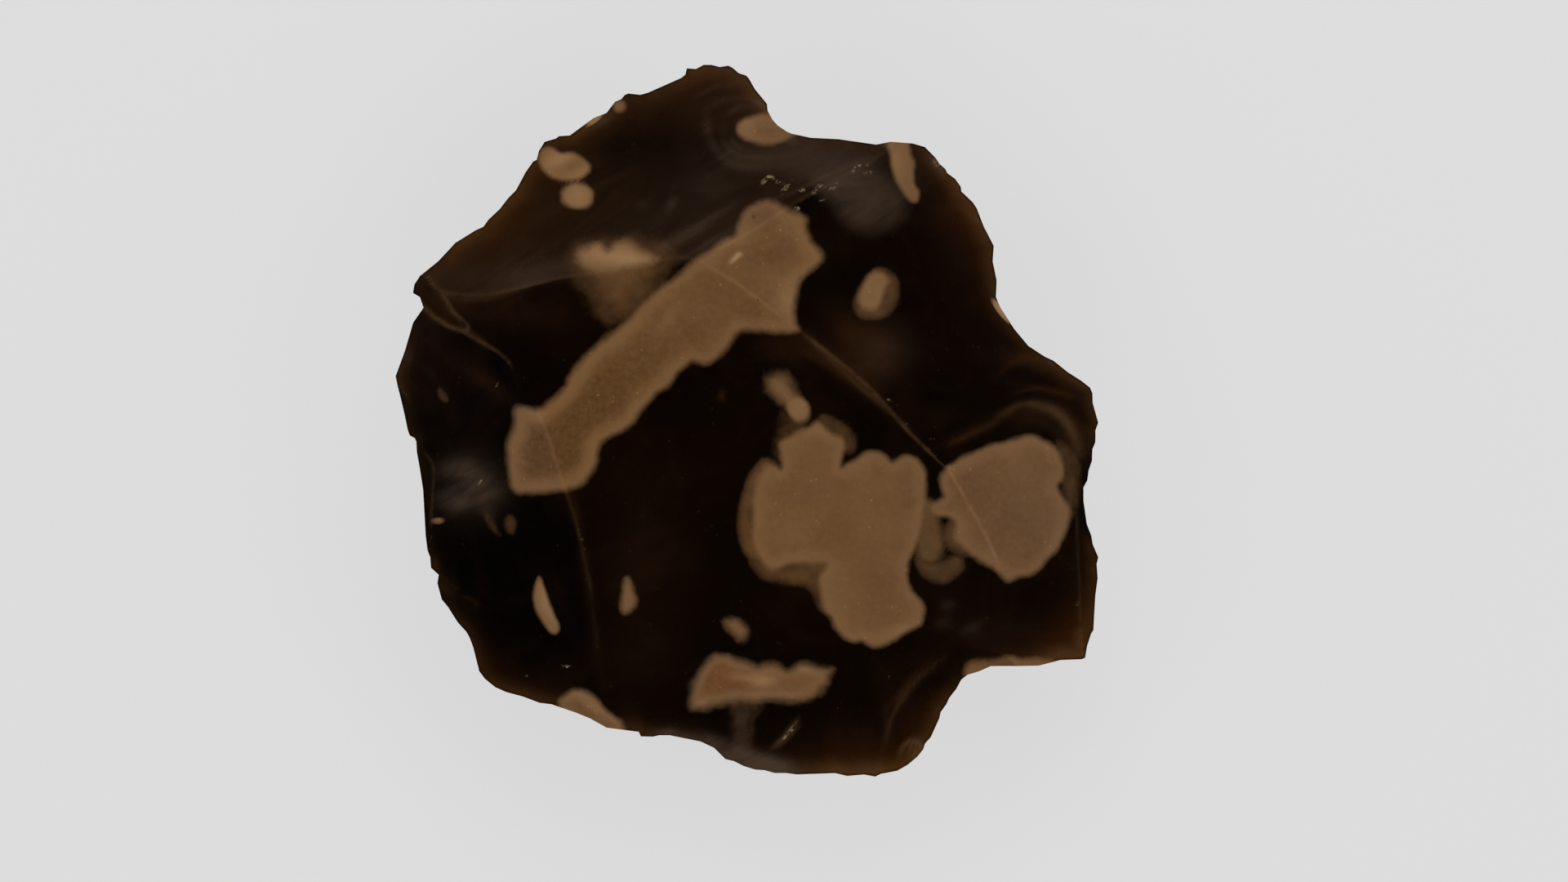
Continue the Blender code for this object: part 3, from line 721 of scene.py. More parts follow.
# %% Small bodies and ovals
SMALL_BODIES = [
    (0.85, [(-24.4, 22.9), (-23.9, 23.9), (-22.2, 24.9), (-20.7, 25.1), (-19.8, 24.1), (-18.6, 24.9),
            (-17.1, 25.3), (-15.6, 24.4), (-13.4, 23.4), (-12.4, 22.7), (-15, 21.9), (-19, 21.2),
            (-22.4, 21.2)]),
    (0.5, [(-29.6, 37), (-29.2, 38.4), (-28, 38.7), (-26.5, 37.9), (-25.1, 38.1), (-23.4, 37.2),
           (-22.3, 36), (-22.7, 35), (-24.1, 34.2), (-25.8, 34.1), (-27.8, 34.5), (-29, 35.5)]),
    (0.6, [(-1.3, 41.6), (-0.5, 42.7), (1.1, 43.1), (2.9, 43.6), (6, 42.5), (7.5, 41.5), (6, 40.4),
           (4.8, 39.6), (3.1, 39.2), (1.4, 39.4), (-0.1, 39.9), (-1, 40.6)]),
    (0.5, [(19.6, 40.5), (20.3, 37.5), (20.4, 36), (20.7, 34.5), (21.6, 33), (22.5, 31.8), (23.5, 31),
           (24.2, 31.5), (24.3, 32.5), (23.7, 33.5), (23.6, 35), (23.6, 36.5), (23, 37.8), (22.4, 40.5)]),
    (0.6, [(17.2, 15.6), (15.8, 16.5), (16, 18.2), (17.3, 20.2), (18.3, 21), (19.4, 20.6), (20, 19.5),
           (19.2, 17.8), (18.8, 16.2)]),
    (0.4, [(-29.6, -22.2), (-30.2, -24.5), (-30, -26.4), (-29.2, -28.1), (-28.1, -29.6), (-27.3, -30.1),
           (-26.8, -29.3), (-27.5, -27.4), (-28.3, -25.2), (-29, -23)][::-1]),
    (0.7, [(-17.1, -22.4), (-17.8, -26.2), (-17.1, -27.3), (-15.9, -25.7), (-16.5, -23.5)]),
    (1.1, [(-3.2, -28.6), (-2.2, -28.2), (-1, -28.8), (-0.2, -29.9), (-0.9, -30.8), (-1.5, -30.3),
           (-2.5, -29.3)]),
    (1.4, [(3.2, 4.6), (3.1, 5.8), (4.2, 6.4), (5.4, 5.9), (5.9, 4.7), (6.8, 3.4), (5.6, 2.4),
           (4.4, 3.3)]),
    (0.6, [(-26.8, -40.2), (-25.9, -38.9), (-24.6, -38.3), (-22.9, -38.5), (-21.5, -39.5), (-20.2, -41.2),
           (-18.8, -42.2), (-17.8, -42.9), (-18.1, -45), (-24, -44)]),
    (0.7, [(31.2, -34.6), (33, -33.9), (35, -34), (37.4, -33.7), (39, -34.1), (41, -34), (43.2, -34.6),
           (41, -37), (35, -38), (31, -36.5)]),
]
# softness, centre, radii, turn in degrees
SMALL_OVALS = [
    (0.55, (-24.1, 31.8), (2.2, 1.8), 0), (0.45, (-18.2, 44.7), (0.9, 0.9), 0),
    (0.5, (7.1, 1.7), (1.5, 1.9), 40), (0.45, (-43.9, -14.2), (0.6, 0.3), 0),
    (0.35, (36.1, 15.5), (2.1, 0.5), -52), (0.35, (-21.7, 42.7), (1.6, 0.4), 36),
]
print("small bodies:", len(SMALL_BODIES) + len(SMALL_OVALS))

# %% [markdown]
# The softer bodies are halos and veils that lie under the surface. They have no crisp rim, so each one
# is a wide smooth step of its distance times a strength. Hazes, brown glows and bright spots are soft
# ovals in the same way: a bell curve of the scaled distance.

# %% Veils: softness, strength and curve
VEILS = [
    (4.8, 1.1, [(-22.8, 23), (-13.2, 23.4), (-13.4, 21), (-14.4, 18.8), (-15.8, 17), (-17.6, 15.6),
                (-19.8, 16.8), (-21.2, 19.6)]),
    (0.8, 0.8, [(3, -5.6), (0.8, -7.2), (-0.3, -9.6), (-1, -12.5), (-1.1, -16), (-0.2, -18.8), (1.6, -20),
                (4, -18), (6, -10)]),
    (1.2, 0.72, [(0.6, -20), (2.2, -21.9), (4.5, -22.7), (8.2, -23.2), (9.8, -24.8), (10.6, -26.6),
                 (12, -22), (9, -19), (3, -19)]),
    (1.0, 0.46, [(10.3, 0.4), (11.8, 0.5), (13.6, -0.6), (14.9, -2), (15.2, -3.6), (14.5, -4.6), (13, -4),
                 (11, -1.5)]),
    (0.9, 0.72, [(15.4, 15.4), (15.2, 16.8), (16.2, 19), (17.6, 20.9), (19, 21.3), (20.6, 20.4),
                 (21.3, 18.7), (20.9, 16.6), (19.8, 15), (18.2, 14.5), (16.5, 14.6)]),
    (1.1, 0.3, [(4.8, 2), (7, 1), (8.6, -0.6), (6.6, -3.4), (4.6, -5.6), (3.6, -4), (4.4, -1)]),
    (0.8, 0.17, [(-2.4, -39.2), (2.8, -39.2), (1.8, -42), (0.8, -45), (0.5, -48), (-2.2, -47.6),
                 (-2.2, -44)]),
    (0.85, 1.0, [(24.6, -11.8), (25.6, -11.2), (26.6, -12.2), (27, -14), (27.5, -16), (27.7, -18),
                 (27, -19.6), (25.8, -20.1), (24.4, -19.4), (24, -17), (24.4, -14)]),
    (1.1, 0.66, [(24.2, -19.4), (25.6, -20), (27.4, -20), (28.8, -19.4), (30.1, -19.6), (30.3, -20.9),
                 (29, -22.1), (27.4, -22.9), (25.8, -22.4), (24.6, -21.2)]),
    (0.9, 0.72, [(28.2, -14.8), (29.4, -14), (31.2, -16), (32.4, -18.4), (30.4, -18.9), (28.6, -17.9),
                 (27.4, -16.6)]),
    (1.2, 0.45, [(44, -3), (46.4, -5), (47.3, -8), (46.8, -11), (46, -13.4), (44.8, -12.4), (44.6, -8)]),
    (0.6, 0.3, [(-37.4, -13), (-36.7, -13.3), (-35.2, -15.4), (-34.9, -16.4), (-35.7, -16.2),
                (-36.8, -14.8)]),
    (0.8, 0.34, [(-33.7, -13.2), (-32.8, -14.4), (-33.2, -16), (-34.1, -15.6), (-34.4, -14.4)]),
    (0.5, 0.42, [(-43.9, 4.5), (-43.1, 4.2), (-42.4, 2.9), (-42.9, 2.6), (-43.7, 3.4)]),
]
print("veils:", len(VEILS))

# %% [markdown]
# ## Hazes and glows
#
# Grey hazes are clouds of fine bubbles or silica in the flint, and the brown glows are places where light
# gets in. Both have no rim at all. A bell curve of a scaled distance gives such a soft oval, and many
# of them, added up, give a drifting cloud.

# %% Grey hazes and brown glows: x, y, radius along, radius aside, turn in degrees, strength
GREY_HAZES = [
    (-41.2, -6.8, 2.6, 1.5, 0, 0.55), (-38.4, -8.6, 3.4, 1.8, -38, 0.62),
    (-41.4, -11.4, 2.2, 1.2, 8, 0.7), (-39, -9.6, 4.6, 3.8, 0, 0.4), (-37, -12.5, 0.9, 1.6, 35, 0.35),
    (14.6, 32.6, 3, 2, -20, 0.3), (11, 37.2, 9.5, 1.9, -6, 0.5), (9, 35, 8.5, 1.7, -12, 0.35),
    (-14, 27.5, 11, 3, 25, 0.15), (-28, 22.6, 14, 2.4, 10, 0.22), (-33, 20.8, 9, 1.2, 8, 0.15),
    (-5, 33, 5, 3, 30, 0.2), (19.4, 9.8, 3.4, 3.2, 0, 0.22), (-8.5, 26.3, 4.6, 0.7, 27, 0.7),
    (-5, 25.2, 4, 0.5, 30, 0.6), (-3.6, 29.6, 4.5, 0.5, 30, 0.35), (-10.7, 30.8, 0.8, 1.2, -20, 0.5),
    (-14.7, 30.4, 1, 0.8, 0, 0.3), (23.6, 35, 3, 4, 0, 0.15), (26.9, 36.2, 1.4, 0.6, -50, 1.0),
    (1.8, 29.4, 3, 1.4, 30, 0.5), (-2, -46.6, 4, 0.9, -22, 0.9), (2.6, -48.4, 4, 1.1, -16, 1.2),
    (-8.5, -45.2, 3.5, 0.7, -6, 0.7), (28.3, -26.1, 1.1, 0.9, 0, 0.22), (27.8, -28.7, 1.2, 0.9, 0, 0.2),
    (31.9, -29.5, 1.6, 0.9, 20, 0.24), (-20.5, 42.6, 1.8, 0.5, 32, 0.6), (-11.3, -44.3, 1.4, 0.5, 0, 0.8),
]
# where the grey scar stays dark
DARK_PATCHES = [
    (-12, 40, 7.5, 4.5, 20, 0.85), (-17, 42, 5, 3, 25, 0.4), (-7, 34.5, 5, 2.6, 20, 0.4),
    (-19.5, 38.6, 3, 2, 0, 0.3),
]
LENS_HAZE = [
    (9.5, 34.6), (12, 30.8), (14, 28.2), (17, 26.8), (20, 27.4), (22.3, 29.8), (21.6, 33), (19.6, 35),
    (15, 36.4),
]
BROWN_GLOWS = [
    (17.8, 9.2, 4.2, 4.2, 0, 1.0), (15, 12, 5, 2.4, -45, 0.65), (12, 8.5, 6.5, 1.3, -37, 0.85),
    (16.5, 4.8, 3, 0.9, -42, 0.6), (5.5, 10.2, 4, 2, -10, 0.5), (-32, 15.5, 8, 2.6, -8, 0.4),
    (-40.8, 16.6, 3, 1, -35, 0.5), (-9.5, 20.8, 4, 2, 0, 0.15), (-5, -6, 8, 8, 0, 0.1),
    (-14.5, -19, 6, 7, 0, 0.38), (-15, -33, 6, 6, 0, 0.25), (-37, 5.4, 4, 1.1, -36, 0.6),
    (-44, 9, 3, 6, 0, 0.2), (39, 8.6, 5, 1.2, -5, 0.5), (44.6, 6.6, 4.5, 1.0, -26, 0.8),
    (43, 4.2, 5, 0.9, -12, 0.4), (32, -1.4, 5, 0.8, 25, 0.6), (37.5, 1, 4, 0.7, 10, 0.3),
    (40, -0.2, 3, 1.4, 10, 0.25), (46.5, -1, 1.2, 5, 15, 0.4), (30, 20, 4, 12, 15, 0.15),
    (36, -30, 9, 3, 0, 0.3), (23, -42, 3, 5, 30, 0.35), (-6, 46, 7, 5, 0, 0.6), (-16, 44, 7, 3, 25, 0.3),
    (-37, 26, 6, 3, 40, 0.35), (-24.6, -12, 0.7, 3.5, 14, 0.5), (-23, -20, 0.7, 5, 8, 0.4),
    (-21.6, -30, 0.8, 7, 6, 0.3), (-3.6, 3.5, 0.5, 0.8, 0, 1.0), (14, -25, 20, 6, 0, 0.1),
    (22, -38.5, 4, 0.6, 45, 0.5), (20, -44, 0.6, 3.4, 8, 0.5), (-42.8, -24, 1.4, 0.5, -38, 0.8),
    (-44.3, -20.6, 0.5, 0.9, 0, 1.2), (48.9, -20.5, 0.9, 3.5, 0, 0.7), (27.5, 37, 2, 2, 0, 0.4),
    (44.5, -15, 2, 5, 0, 0.2),
]
# brown light at the thin edge: x, y, reach along it, strength, and how far in it goes
EDGE_GLOWS = [
    (-49, 5, 6, 0.45, 1.4), (-36, 28, 9, 0.95, 3.4), (-25, 41, 5, 0.9, 1.6), (-14, 47, 7, 0.3, 2.0),
    (-4, 50, 7, 0.8, 3.2), (3, 45, 4, 0.5, 2.0), (10, 40, 8, 0.5, 1.2), (27, 37, 4, 0.7, 1.6),
    (32, 29, 6.5, 1.25, 3.6), (35, 20, 4, 0.4, 1.6), (37, 13, 3.5, 0.5, 0.9), (45, 7, 5, 0.6, 1.3),
    (49.5, 1, 5, 0.5, 1.2), (47.5, -31, 5, 1.6, 3.8), (40, -34, 6, 0.7, 1.6), (28, -41, 5, 0.6, 1.8),
    (22, -49, 6, 1.0, 3.0), (12, -50, 7, 1.0, 3.2), (0, -49, 5, 0.3, 1.0), (-13, -45, 7, 0.6, 1.5),
    (-33, -39, 8, 0.6, 1.7), (-40, -30, 5, 0.22, 1.2), (-44, -22, 4, 0.25, 0.8), (-47, -3, 3, 0.3, 0.6),
    (-48.6, 6.5, 3, 0.25, 2.0), (50, -21, 4.5, 0.6, 2.2), (48.2, -12, 2.4, -0.7, 2.5),
]
print("hazes and glows:", len(GREY_HAZES) + len(BROWN_GLOWS) + len(EDGE_GLOWS))

# %% [markdown]
# The pale bodies aren't even inside. Some are amber or brown at heart, and where a body comes close to
# the surface it is nearly white. Two of the brown cores, turned along the middle ridge, are painted
# shade on the bone just below it. Crushed flecks are spots where a hammer bruised the ridge.

# %% Cores and painted shade, bright spots and crushed flecks, in the same six numbers
AMBER_CORES = [
    (3, -36.8, 2.6, 1.0, 0, 0.3), (8, -37, 3.4, 1.2, 0, 0.35), (26, -17, 0.8, 2.6, 8, 0.5),
    (36.5, -34.2, 5.5, 1, 0, 0.8), (42, -33.8, 2, 0.9, 0, 0.6), (-21, -41.8, 3.4, 0.8, -30, 0.35),
    (46.5, -30.5, 2, 3, 0, 0.5),
]
BRIGHT_SPOTS = [
    (-19, 23.3, 5, 1.3, -3, 1.05), (-15.5, 22.4, 2.5, 0.6, 0, 0.4), (-27, 37, 2.3, 1.4, 25, 0.9),
    (-24.1, 31.8, 2, 1.6, 0, 0.75), (-24, 35.2, 2, 0.8, 20, 0.5), (17.6, 18.6, 1.6, 2.2, 0, 0.2),
    (-1.7, 22.9, 0.9, 0.35, 42, 1.3), (-1.2, 23.4, 0.5, 0.3, 0, 0.8), (5.6, 17, 1.6, 2.2, -20, 0.3),
    (-29.8, 0.8, 2, 0.8, 0, 0.2), (2.4, -36.9, 1.9, 1.0, 5, 0.7), (-0.6, -36.4, 2.4, 0.6, -8, 0.45),
    (8, -35.2, 2.2, 0.5, 0, 0.35), (-6.6, -39.8, 1.0, 0.6, 30, 0.4), (4, -39.1, 4, 0.35, 0, 0.35),
    (26.2, -14.5, 0.6, 2, 10, 0.45), (-28.4, -26, 1, 3.4, 20, 0.65), (10.5, -35.5, 1.2, 0.8, 0, 0.2),
    (37, -33.9, 5, 0.7, 0, 0.4), (-22, -40.4, 4, 0.8, -35, 0.4), (21.2, 37, 1, 2.4, 0, 0.3),
    (7.2, 1.7, 1.3, 1.6, 0, 0.3), (-11, 14.5, 1, 2.6, -35, 0.25), (0, 41.6, 1.4, 1.2, 0, 0.25),
    (21.5, -29.6, 2.4, 0.8, 20, 0.25), (10, -1.6, 1.6, 0.8, 0, 0.2), (36.1, 15.5, 2.2, 0.8, -52, 1.2),
    (-21.7, 42.7, 1.8, 0.7, 36, 0.7),
]
# brown cores; the two rows turned -38 degrees along the middle ridge are painted shade on the bone below
# it
BROWN_CORES_AND_SHADE = [
    (-25.3, 36, 1.6, 0.9, -8, 0.35), (3.4, 23.5, 3.4, 2.6, 30, 0.4), (2, 29.4, 3, 1.4, 0, 0.45),
    (36, -13, 7, 7, 0, 0.35), (31, -9, 2.5, 3, 0, 0.3), (17, 17.6, 0.7, 1, 0, 0.3),
    (11.5, -10, 3, 5, 0, 0.1), (19, -25, 3, 4, 0, 0.15), (1, 14.6, 5, 2.2, -38, 0.35),
    (5.2, 14.2, 1.6, 1.2, -38, 0.3), (4, 40.2, 2.4, 1, 0, 0.5), (23, 32.5, 1.6, 1.6, 0, 0.35),
    (-18.2, 44.7, 1.4, 1.4, 0, 0.7), (-7, -39.6, 1.4, 1.2, 0, 0.5),
]
CRUSHED = [
    (2.4, 33.9, 0.7, 0.32, 45, 1), (3.4, 34.4, 0.6, 0.28, 0, 1), (4.6, 33.7, 0.6, 0.32, 0, 1),
    (5.4, 32.8, 1.5, 0.28, 50, 1), (7.7, 32.6, 0.5, 0.32, 0, 1), (9.7, 32.5, 0.8, 0.3, 55, 1),
    (10.6, 33.2, 0.5, 0.3, 0, 0.9), (12.2, 33.1, 0.9, 0.28, 45, 1), (15.2, 35.6, 0.8, 0.28, 35, 0.9),
    (17, 35.1, 0.7, 0.26, 10, 1), (17, 36.2, 1.5, 0.22, 4, 0.55), (7, 29.9, 0.5, 0.3, 0, 1),
    (10.6, 31.1, 1.2, 0.22, 15, 0.6), (10.9, 10.2, 0.9, 0.25, -40, 0.4), (16.5, 5.6, 1.2, 0.28, -40, 0.5),
    (20, 2.9, 0.9, 0.25, -20, 0.55), (22.4, -0.4, 1.6, 0.25, -45, 0.5), (24.4, -2.9, 1.4, 0.25, -45, 0.5),
    (26, -2.6, 0.9, 0.25, -18, 0.5), (26.9, 36.4, 0.9, 0.4, -50, 0.9), (5.2, -45, 2.2, 0.26, 46, 0.6),
    (6.4, -43.6, 1.6, 0.24, 55, 0.6), (-37.8, -8.7, 0.8, 0.22, 60, 0.7), (46.9, -26, 0.3, 0.5, 0, 1),
    (-25.6, -34.9, 0.9, 0.3, -5, 0.8), (-43.7, -14.2, 0.7, 0.35, 0, 0.5),
    (-35.6, 5.1, 0.35, 0.35, 0, 0.8), (-31.3, -36.2, 0.4, 0.3, 0, 0.6), (12.9, -40.9, 0.3, 0.3, 0, 0.6),
    (20.2, -36.2, 0.25, 0.25, 0, 0.6), (-12.4, 0.6, 0.3, 0.3, 0, 0.3), (-15.5, 20.6, 0.3, 0.3, 0, 0.3),
    (-23.5, -16.5, 0.25, 2.4, 14, 0.6), (24.6, -47.2, 0.7, 0.3, 40, 0.3),
]
print("cores and spots:", len(AMBER_CORES) + len(BRIGHT_SPOTS) + len(BROWN_CORES_AND_SHADE) + len(CRUSHED))

# %% [markdown]
# ## Strokes
#
# Wisps of haze, ripple crests and hairline scars are long and thin, so an oval doesn't suit them. Each
# is an open curve, and its strength falls off with distance from the curve and towards both its ends.

# %% Open curves for each mask: half width, strength, points
STROKES = {
    "grey_haze": [
        (0.7, 0.5, [(-5.9, 43.6), (-5.6, 41), (-4.8, 39), (-2.9, 36.9), (-0.2, 35.9), (2.6, 35.9)]),
        (0.45, 0.5, [(-3.4, 41.4), (-3.3, 39.6), (-2, 37.9), (0.2, 37.3), (3, 37.4)]),
        (0.3, 0.4, [(-2, 41), (-2.2, 39.8), (-1.2, 38.6), (0.4, 38.2)]),
        (0.35, 0.35, [(-7.5, 45.8), (-4.5, 47.4), (-1, 48)]),
        (0.35, 0.3, [(-6.4, 44), (-3, 45.6), (0.6, 45.8)]),
        (0.4, 0.3, [(-3, 43.4), (-1, 44.4), (1.6, 44.6)]),
        (0.3, 0.35, [(3.2, 30.8), (8, 33), (12.8, 35.2), (17.4, 37.4)]),
        (0.75, 1.5, [(-5.6, -45.9), (-3.4, -47.4), (-0.4, -48.7), (3, -49.5), (6.4, -50.1)]),
        (1.2, 0.45, [(-0.8, -39.2), (-0.9, -44), (-1, -48)]),
    ],
    "brown_glow": [
        (1.0, 0.75, [(41.2, 1.9), (44.4, 1.2), (46.8, -1.8), (47.7, -5)]),
        (1.0, 0.5, [(39.5, 0.4), (42, 0), (44, -1.6), (45.4, -4), (46, -7)]),
        (0.6, 0.7, [(35, 6), (38, 8.4), (41, 8.8), (45, 6.9), (48.4, 5)]),
        (0.35, 0.6, [(37, 3.6), (41, 4.6), (45, 3.8), (48.6, 2.6)]),
        (0.5, 0.8, [(8, 9.8), (12, 7.6), (16, 5), (20, 1.4), (23.6, -2)]),
        (0.35, 0.6, [(8, 12.2), (12, 8.8), (16.4, 5.2)]),
        (0.45, 0.9, [(28.4, -3.4), (31.6, -2), (35.6, -0.2)]),
        (0.8, 0.6, [(-45.4, 18.6), (-43.4, 16.2), (-41.4, 14.2)]),
        (0.3, 0.7, [(-43.6, -22), (-42.2, -23.2), (-41, -24.2)]),
        (0.3, 0.6, [(-40.6, -25), (-39.2, -25.4), (-38, -26.2)]),
    ],
    "pale_line": [
        (0.35, 0.3, [(-46.6, 17), (-45.6, 15.8), (-43.6, 14.2), (-41.3, 13), (-39.4, 12.5),
                     (-36.6, 10.4)]),
        (0.35, 0.22, [(-45.4, 20.6), (-43.1, 17.6), (-41.6, 15.3), (-39.6, 12.9)]),
        (0.45, 0.14, [(-43.2, 17.8), (-40, 17.2), (-36, 17.5), (-31, 18.8)]),
        (0.35, 0.16, [(28, -33.6), (25.2, -35.8), (22.6, -38.6), (20.6, -42), (19.3, -46.4)]),
        (0.35, 0.06, [(26.4, -33.6), (23, -36.8), (21.2, -40)]),
        (0.4, 0.7, [(21.6, -47.4), (22.3, -46.2), (23.4, -45.6), (24.5, -46), (24.9, -47),
                    (24.3, -48.2), (23.2, -48.6)]),
        (0.35, 0.5, [(22.8, -47.4), (23.3, -46.7), (24, -46.9), (23.8, -47.7), (23.2, -47.8)]),
        (0.7, 0.42, [(40.4, 2.3), (43, 1.6), (44.8, 0.3), (46.2, -1.9), (47.1, -4.8)]),
        (0.5, 0.2, [(35.5, 0.6), (38.6, 2.2), (41.5, 2.4)]),
        (0.35, 0.2, [(8.6, 11.4), (12, 8.4), (16, 4.8), (20, 1.2)]),
        (0.35, 0.3, [(3.4, -46.6), (5.1, -45), (7.2, -42.3)]),
        (0.3, 0.2, [(4.2, -46.5), (5.9, -44.9), (7.5, -43.1)]),
    ],
}
# how strongly the painted highlight shows along a ridge: half width of the reach, strength, points
RIDGE_HIGHLIGHTS = [
    (1.6, 0.3, MIDDLE_RIDGE[1:5]), (1.6, 0.75, MIDDLE_RIDGE[4:]), (1.6, 0.4, RIGHT_RIDGE[:3]),
    (1.4, 0.5, LEFT_RIDGE[:4]), (1.4, 0.25, LEFT_RIDGE[5:7]), (1.4, 0.26, LEFT_RIDGE[6:9]),
    (1.4, 0.08, LEFT_RIDGE[8:10]), (1.4, 0.2, UPPER_RIDGE), (1.4, 0.2, CREST_RIDGE),
    (1.2, 0.5, [(-46, 20.3), (-42.5, 17.3), (-39.3, 13.2)]),
    (1.2, 0.35, [(-44.8, -5), (-45, -9), (-45.1, -14)]),
    (1.0, 0.25, [(47.1, -12), (47.2, -22), (47.8, -33)]),
]
print("strokes:", sum(len(rows) for rows in STROKES.values()), "worn lines:", len(RIDGE_HIGHLIGHTS))

# %% [markdown]
# A few small functions turn all these tables into numbers at the points: a curve with open ends, the
# distance along it, strokes, soft ovals, and a smooth step for the rims of the veils.

# %% From curves and ovals to strengths
END_FADE, LEAST_SHARE = 0.35, 0.12  # share of a stroke over which it fades, and what is left at its tip


def open_curve(points, parts=5):
    """The same cubic through points that don't close: its first and last points are used twice."""
    return closed_curve([points[0]] + points + [points[-1]], parts)[parts:-2 * parts + 1]


def along_curve(x, y, points):
    """Distance to the nearest span of an open curve, and how far along the curve that is, 0 to 1."""
    nearest, place = np.full(len(x), np.inf), np.zeros(len(x))
    for row, (start, end) in enumerate(zip(points[:-1], points[1:])):
        away, share = to_span(x, y, start, end)
        closer = away < nearest
        nearest = np.where(closer, away, nearest)
        place = np.where(closer, (row + share) / (len(points) - 1), place)
    return nearest, place


def stroke(x, y, half_width, strength, points):
    """e to the minus square of distance over half width, times the root of a fade at both ends."""
    away, place = along_curve(x, y, open_curve(points))
    ends = np.clip(place / END_FADE, LEAST_SHARE, 1) * np.clip((1 - place) / END_FADE, LEAST_SHARE, 1)
    return strength * np.sqrt(ends) * np.exp(-((away / half_width) ** 2))


def bells(x, y, rows):
    """The sum of soft ovals: strength times e to the minus scaled distance squared."""
    total = np.zeros(len(x))
    for centre_x, centre_y, along, aside, degrees, strength in rows:
        scaled = 1 - oval(x, y, (centre_x, centre_y), (along, aside), degrees) / ((along + aside) / 2)
        total += strength * np.exp(-(scaled**2))
    return total


def smooth_share(value):
    """From 0 at -1 to 1 at 1 and beyond: three times the share squared, less twice its cube."""
    share = np.clip((value + 1) / 2, 0, 1)
    return share * share * (3 - 2 * share)


print("a soft oval, one radius out:", round(float(bells(*MIDDLE, [(1, 0, 1, 1, 0, 1)])[0]), 3))

# %% [markdown]
# ## What every point knows
#
# The curves and ovals become one number each per point, worked out for all points at once. Distances
# stay in millimetres, with less than nothing outside a body, so that the material can still choose how
# soft each rim is. The first of them are the pale bodies and the distance from the edge.

# %% How deep each point lies in a pale body
FAR = 9.0  # a distance past which nothing changes any more


def crisp_bodies(x, y):
    """The largest of signed distance over softness, and the largest signed distance itself."""
    far = np.full(len(x), -FAR)
    shapes = [(softness, signed_distance(x, y, closed_curve(points)))
              for softness, points in LARGE_BODIES + SMALL_BODIES]
    shapes += [(softness, oval(x, y, centre, radii, degrees))
               for softness, centre, radii, degrees in SMALL_OVALS]
    scaled, plain = far, far
    for softness, away in shapes:
        scaled, plain = np.maximum(scaled, away / softness), np.maximum(plain, away)
    return scaled, plain


from_edge = np.concatenate([distance_in(face_x, face_y, ring[::2]), inward[~border]])
from_edge[:len(border)][border] = 0
body, body_depth = crisp_bodies(point_x, point_y)
print("share of the face in a pale body:", round(float((body[on_face] > 0).mean()), 3))

# %% [markdown]
# The veils don't add up where they overlap: the strongest holds. The hazes, glows and strokes do add
# up. Grey light also gathers on the upper side of the upper ridge, and there the distance from the
# ridge itself gives the haze its one crisp side.

# %% Veils, hazes, glows and strokes
LENS_STRENGTH, LENS_SOFTNESS = 0.68, 1.6
RIDGE_HAZE, RIDGE_HAZE_REACH = [(-31, 20, 13, 4, 8, 0.5)], 1.3

veil = np.zeros(len(point_x))
for softness, strength, points in VEILS:
    away = signed_distance(point_x, point_y, closed_curve(points))
    veil = np.maximum(veil, strength * smooth_share(away / softness))
haze, glow = bells(point_x, point_y, GREY_HAZES), bells(point_x, point_y, BROWN_GLOWS)
scar_of = np.where(on_face, np.resize(scar_here, len(point_x)), -1)
grey_scar = scar_of == SCAR_NAMES.index("upper left")
above_ridge = np.exp(-np.resize(ridge_distance, len(point_x)) / RIDGE_HAZE_REACH) * grey_scar
haze += above_ridge * bells(point_x, point_y, RIDGE_HAZE)
lens = signed_distance(point_x, point_y, closed_curve(LENS_HAZE))
haze += LENS_STRENGTH * smooth_share(lens / LENS_SOFTNESS)
drawn = {"grey_haze": haze, "brown_glow": glow, "pale_line": np.zeros(len(point_x))}
for name, rows in STROKES.items():
    for half_width, strength, points in rows:
        drawn[name] += stroke(point_x, point_y, half_width, strength, points)
print("strongest haze:", round(float(haze.max()), 2), "strongest glow:", round(float(glow.max()), 2))

# %% [markdown]
# The pale line along a ridge is a painted highlight, where the ridge catches the light. It is stronger
# on some stretches of ridge than on others. The brown light at the edge is strongest where the edge is
# thinnest: it fades inwards as light does in a tinted glass, by the same share for every millimetre.

# %% Painted highlights on the ridges, and light at the thin edge
SHARP_ENOUGH = 0.09  # scars that part more slowly than this leave no line
GLOW_SPREAD = 1.5  # widens each reach along the edge

# painted highlight: how strongly the pale line shows near each stretch of ridge
ridge_highlight = np.zeros(len(point_x))
for half_width, strength, points in RIDGE_HIGHLIGHTS:
    away, _ = along_curve(point_x, point_y, np.array([point[:2] for point in points], float))
    ridge_highlight = np.maximum(ridge_highlight, strength * np.exp(-((away / half_width) ** 4)))
edge_glow = np.zeros(len(point_x))
for x, y, reach, strength, depth in EDGE_GLOWS:
    near = np.exp(-((point_x - x) ** 2 + (point_y - y) ** 2) / reach**2 / GLOW_SPREAD)
    edge_glow += strength * near * np.exp(-from_edge / depth)
ridge_line = np.where(sharpness > SHARP_ENOUGH, ridge_distance, FAR)
ridge_line = np.concatenate([ridge_line, np.full((~border).sum(), FAR)])
print("worn points:", int((ridge_highlight > 0.1).sum()), "points with edge light:", int((edge_glow > 0.1).sum()))

# %% [markdown]
# The long bone-shaped body is brown at heart towards its lower end, and the left half of the T-shaped
# one is amber. Both cores follow their body's own rim, so they are worked out from the depth inside it.

# %% Brown and amber cores that follow a rim
BONE_CORE_IN, BONE_CORE_SOFTNESS = 2.3, 1.3
LEAST_BROWN, MORE_BROWN = 0.1, 0.75  # more is added towards the lower end
BROWN_MIDDLE, BROWN_SPAN = -2.0, 26.0  # where x plus y is this, half of it is, and over what span
BAR_CORE_IN, BAR_CORE_SOFTNESS, BAR_AMBER = 1.3, 0.6, 0.9
AMBER_UP_TO, AMBER_SOFTNESS = 4.0, 5.0  # the amber ends about here along x

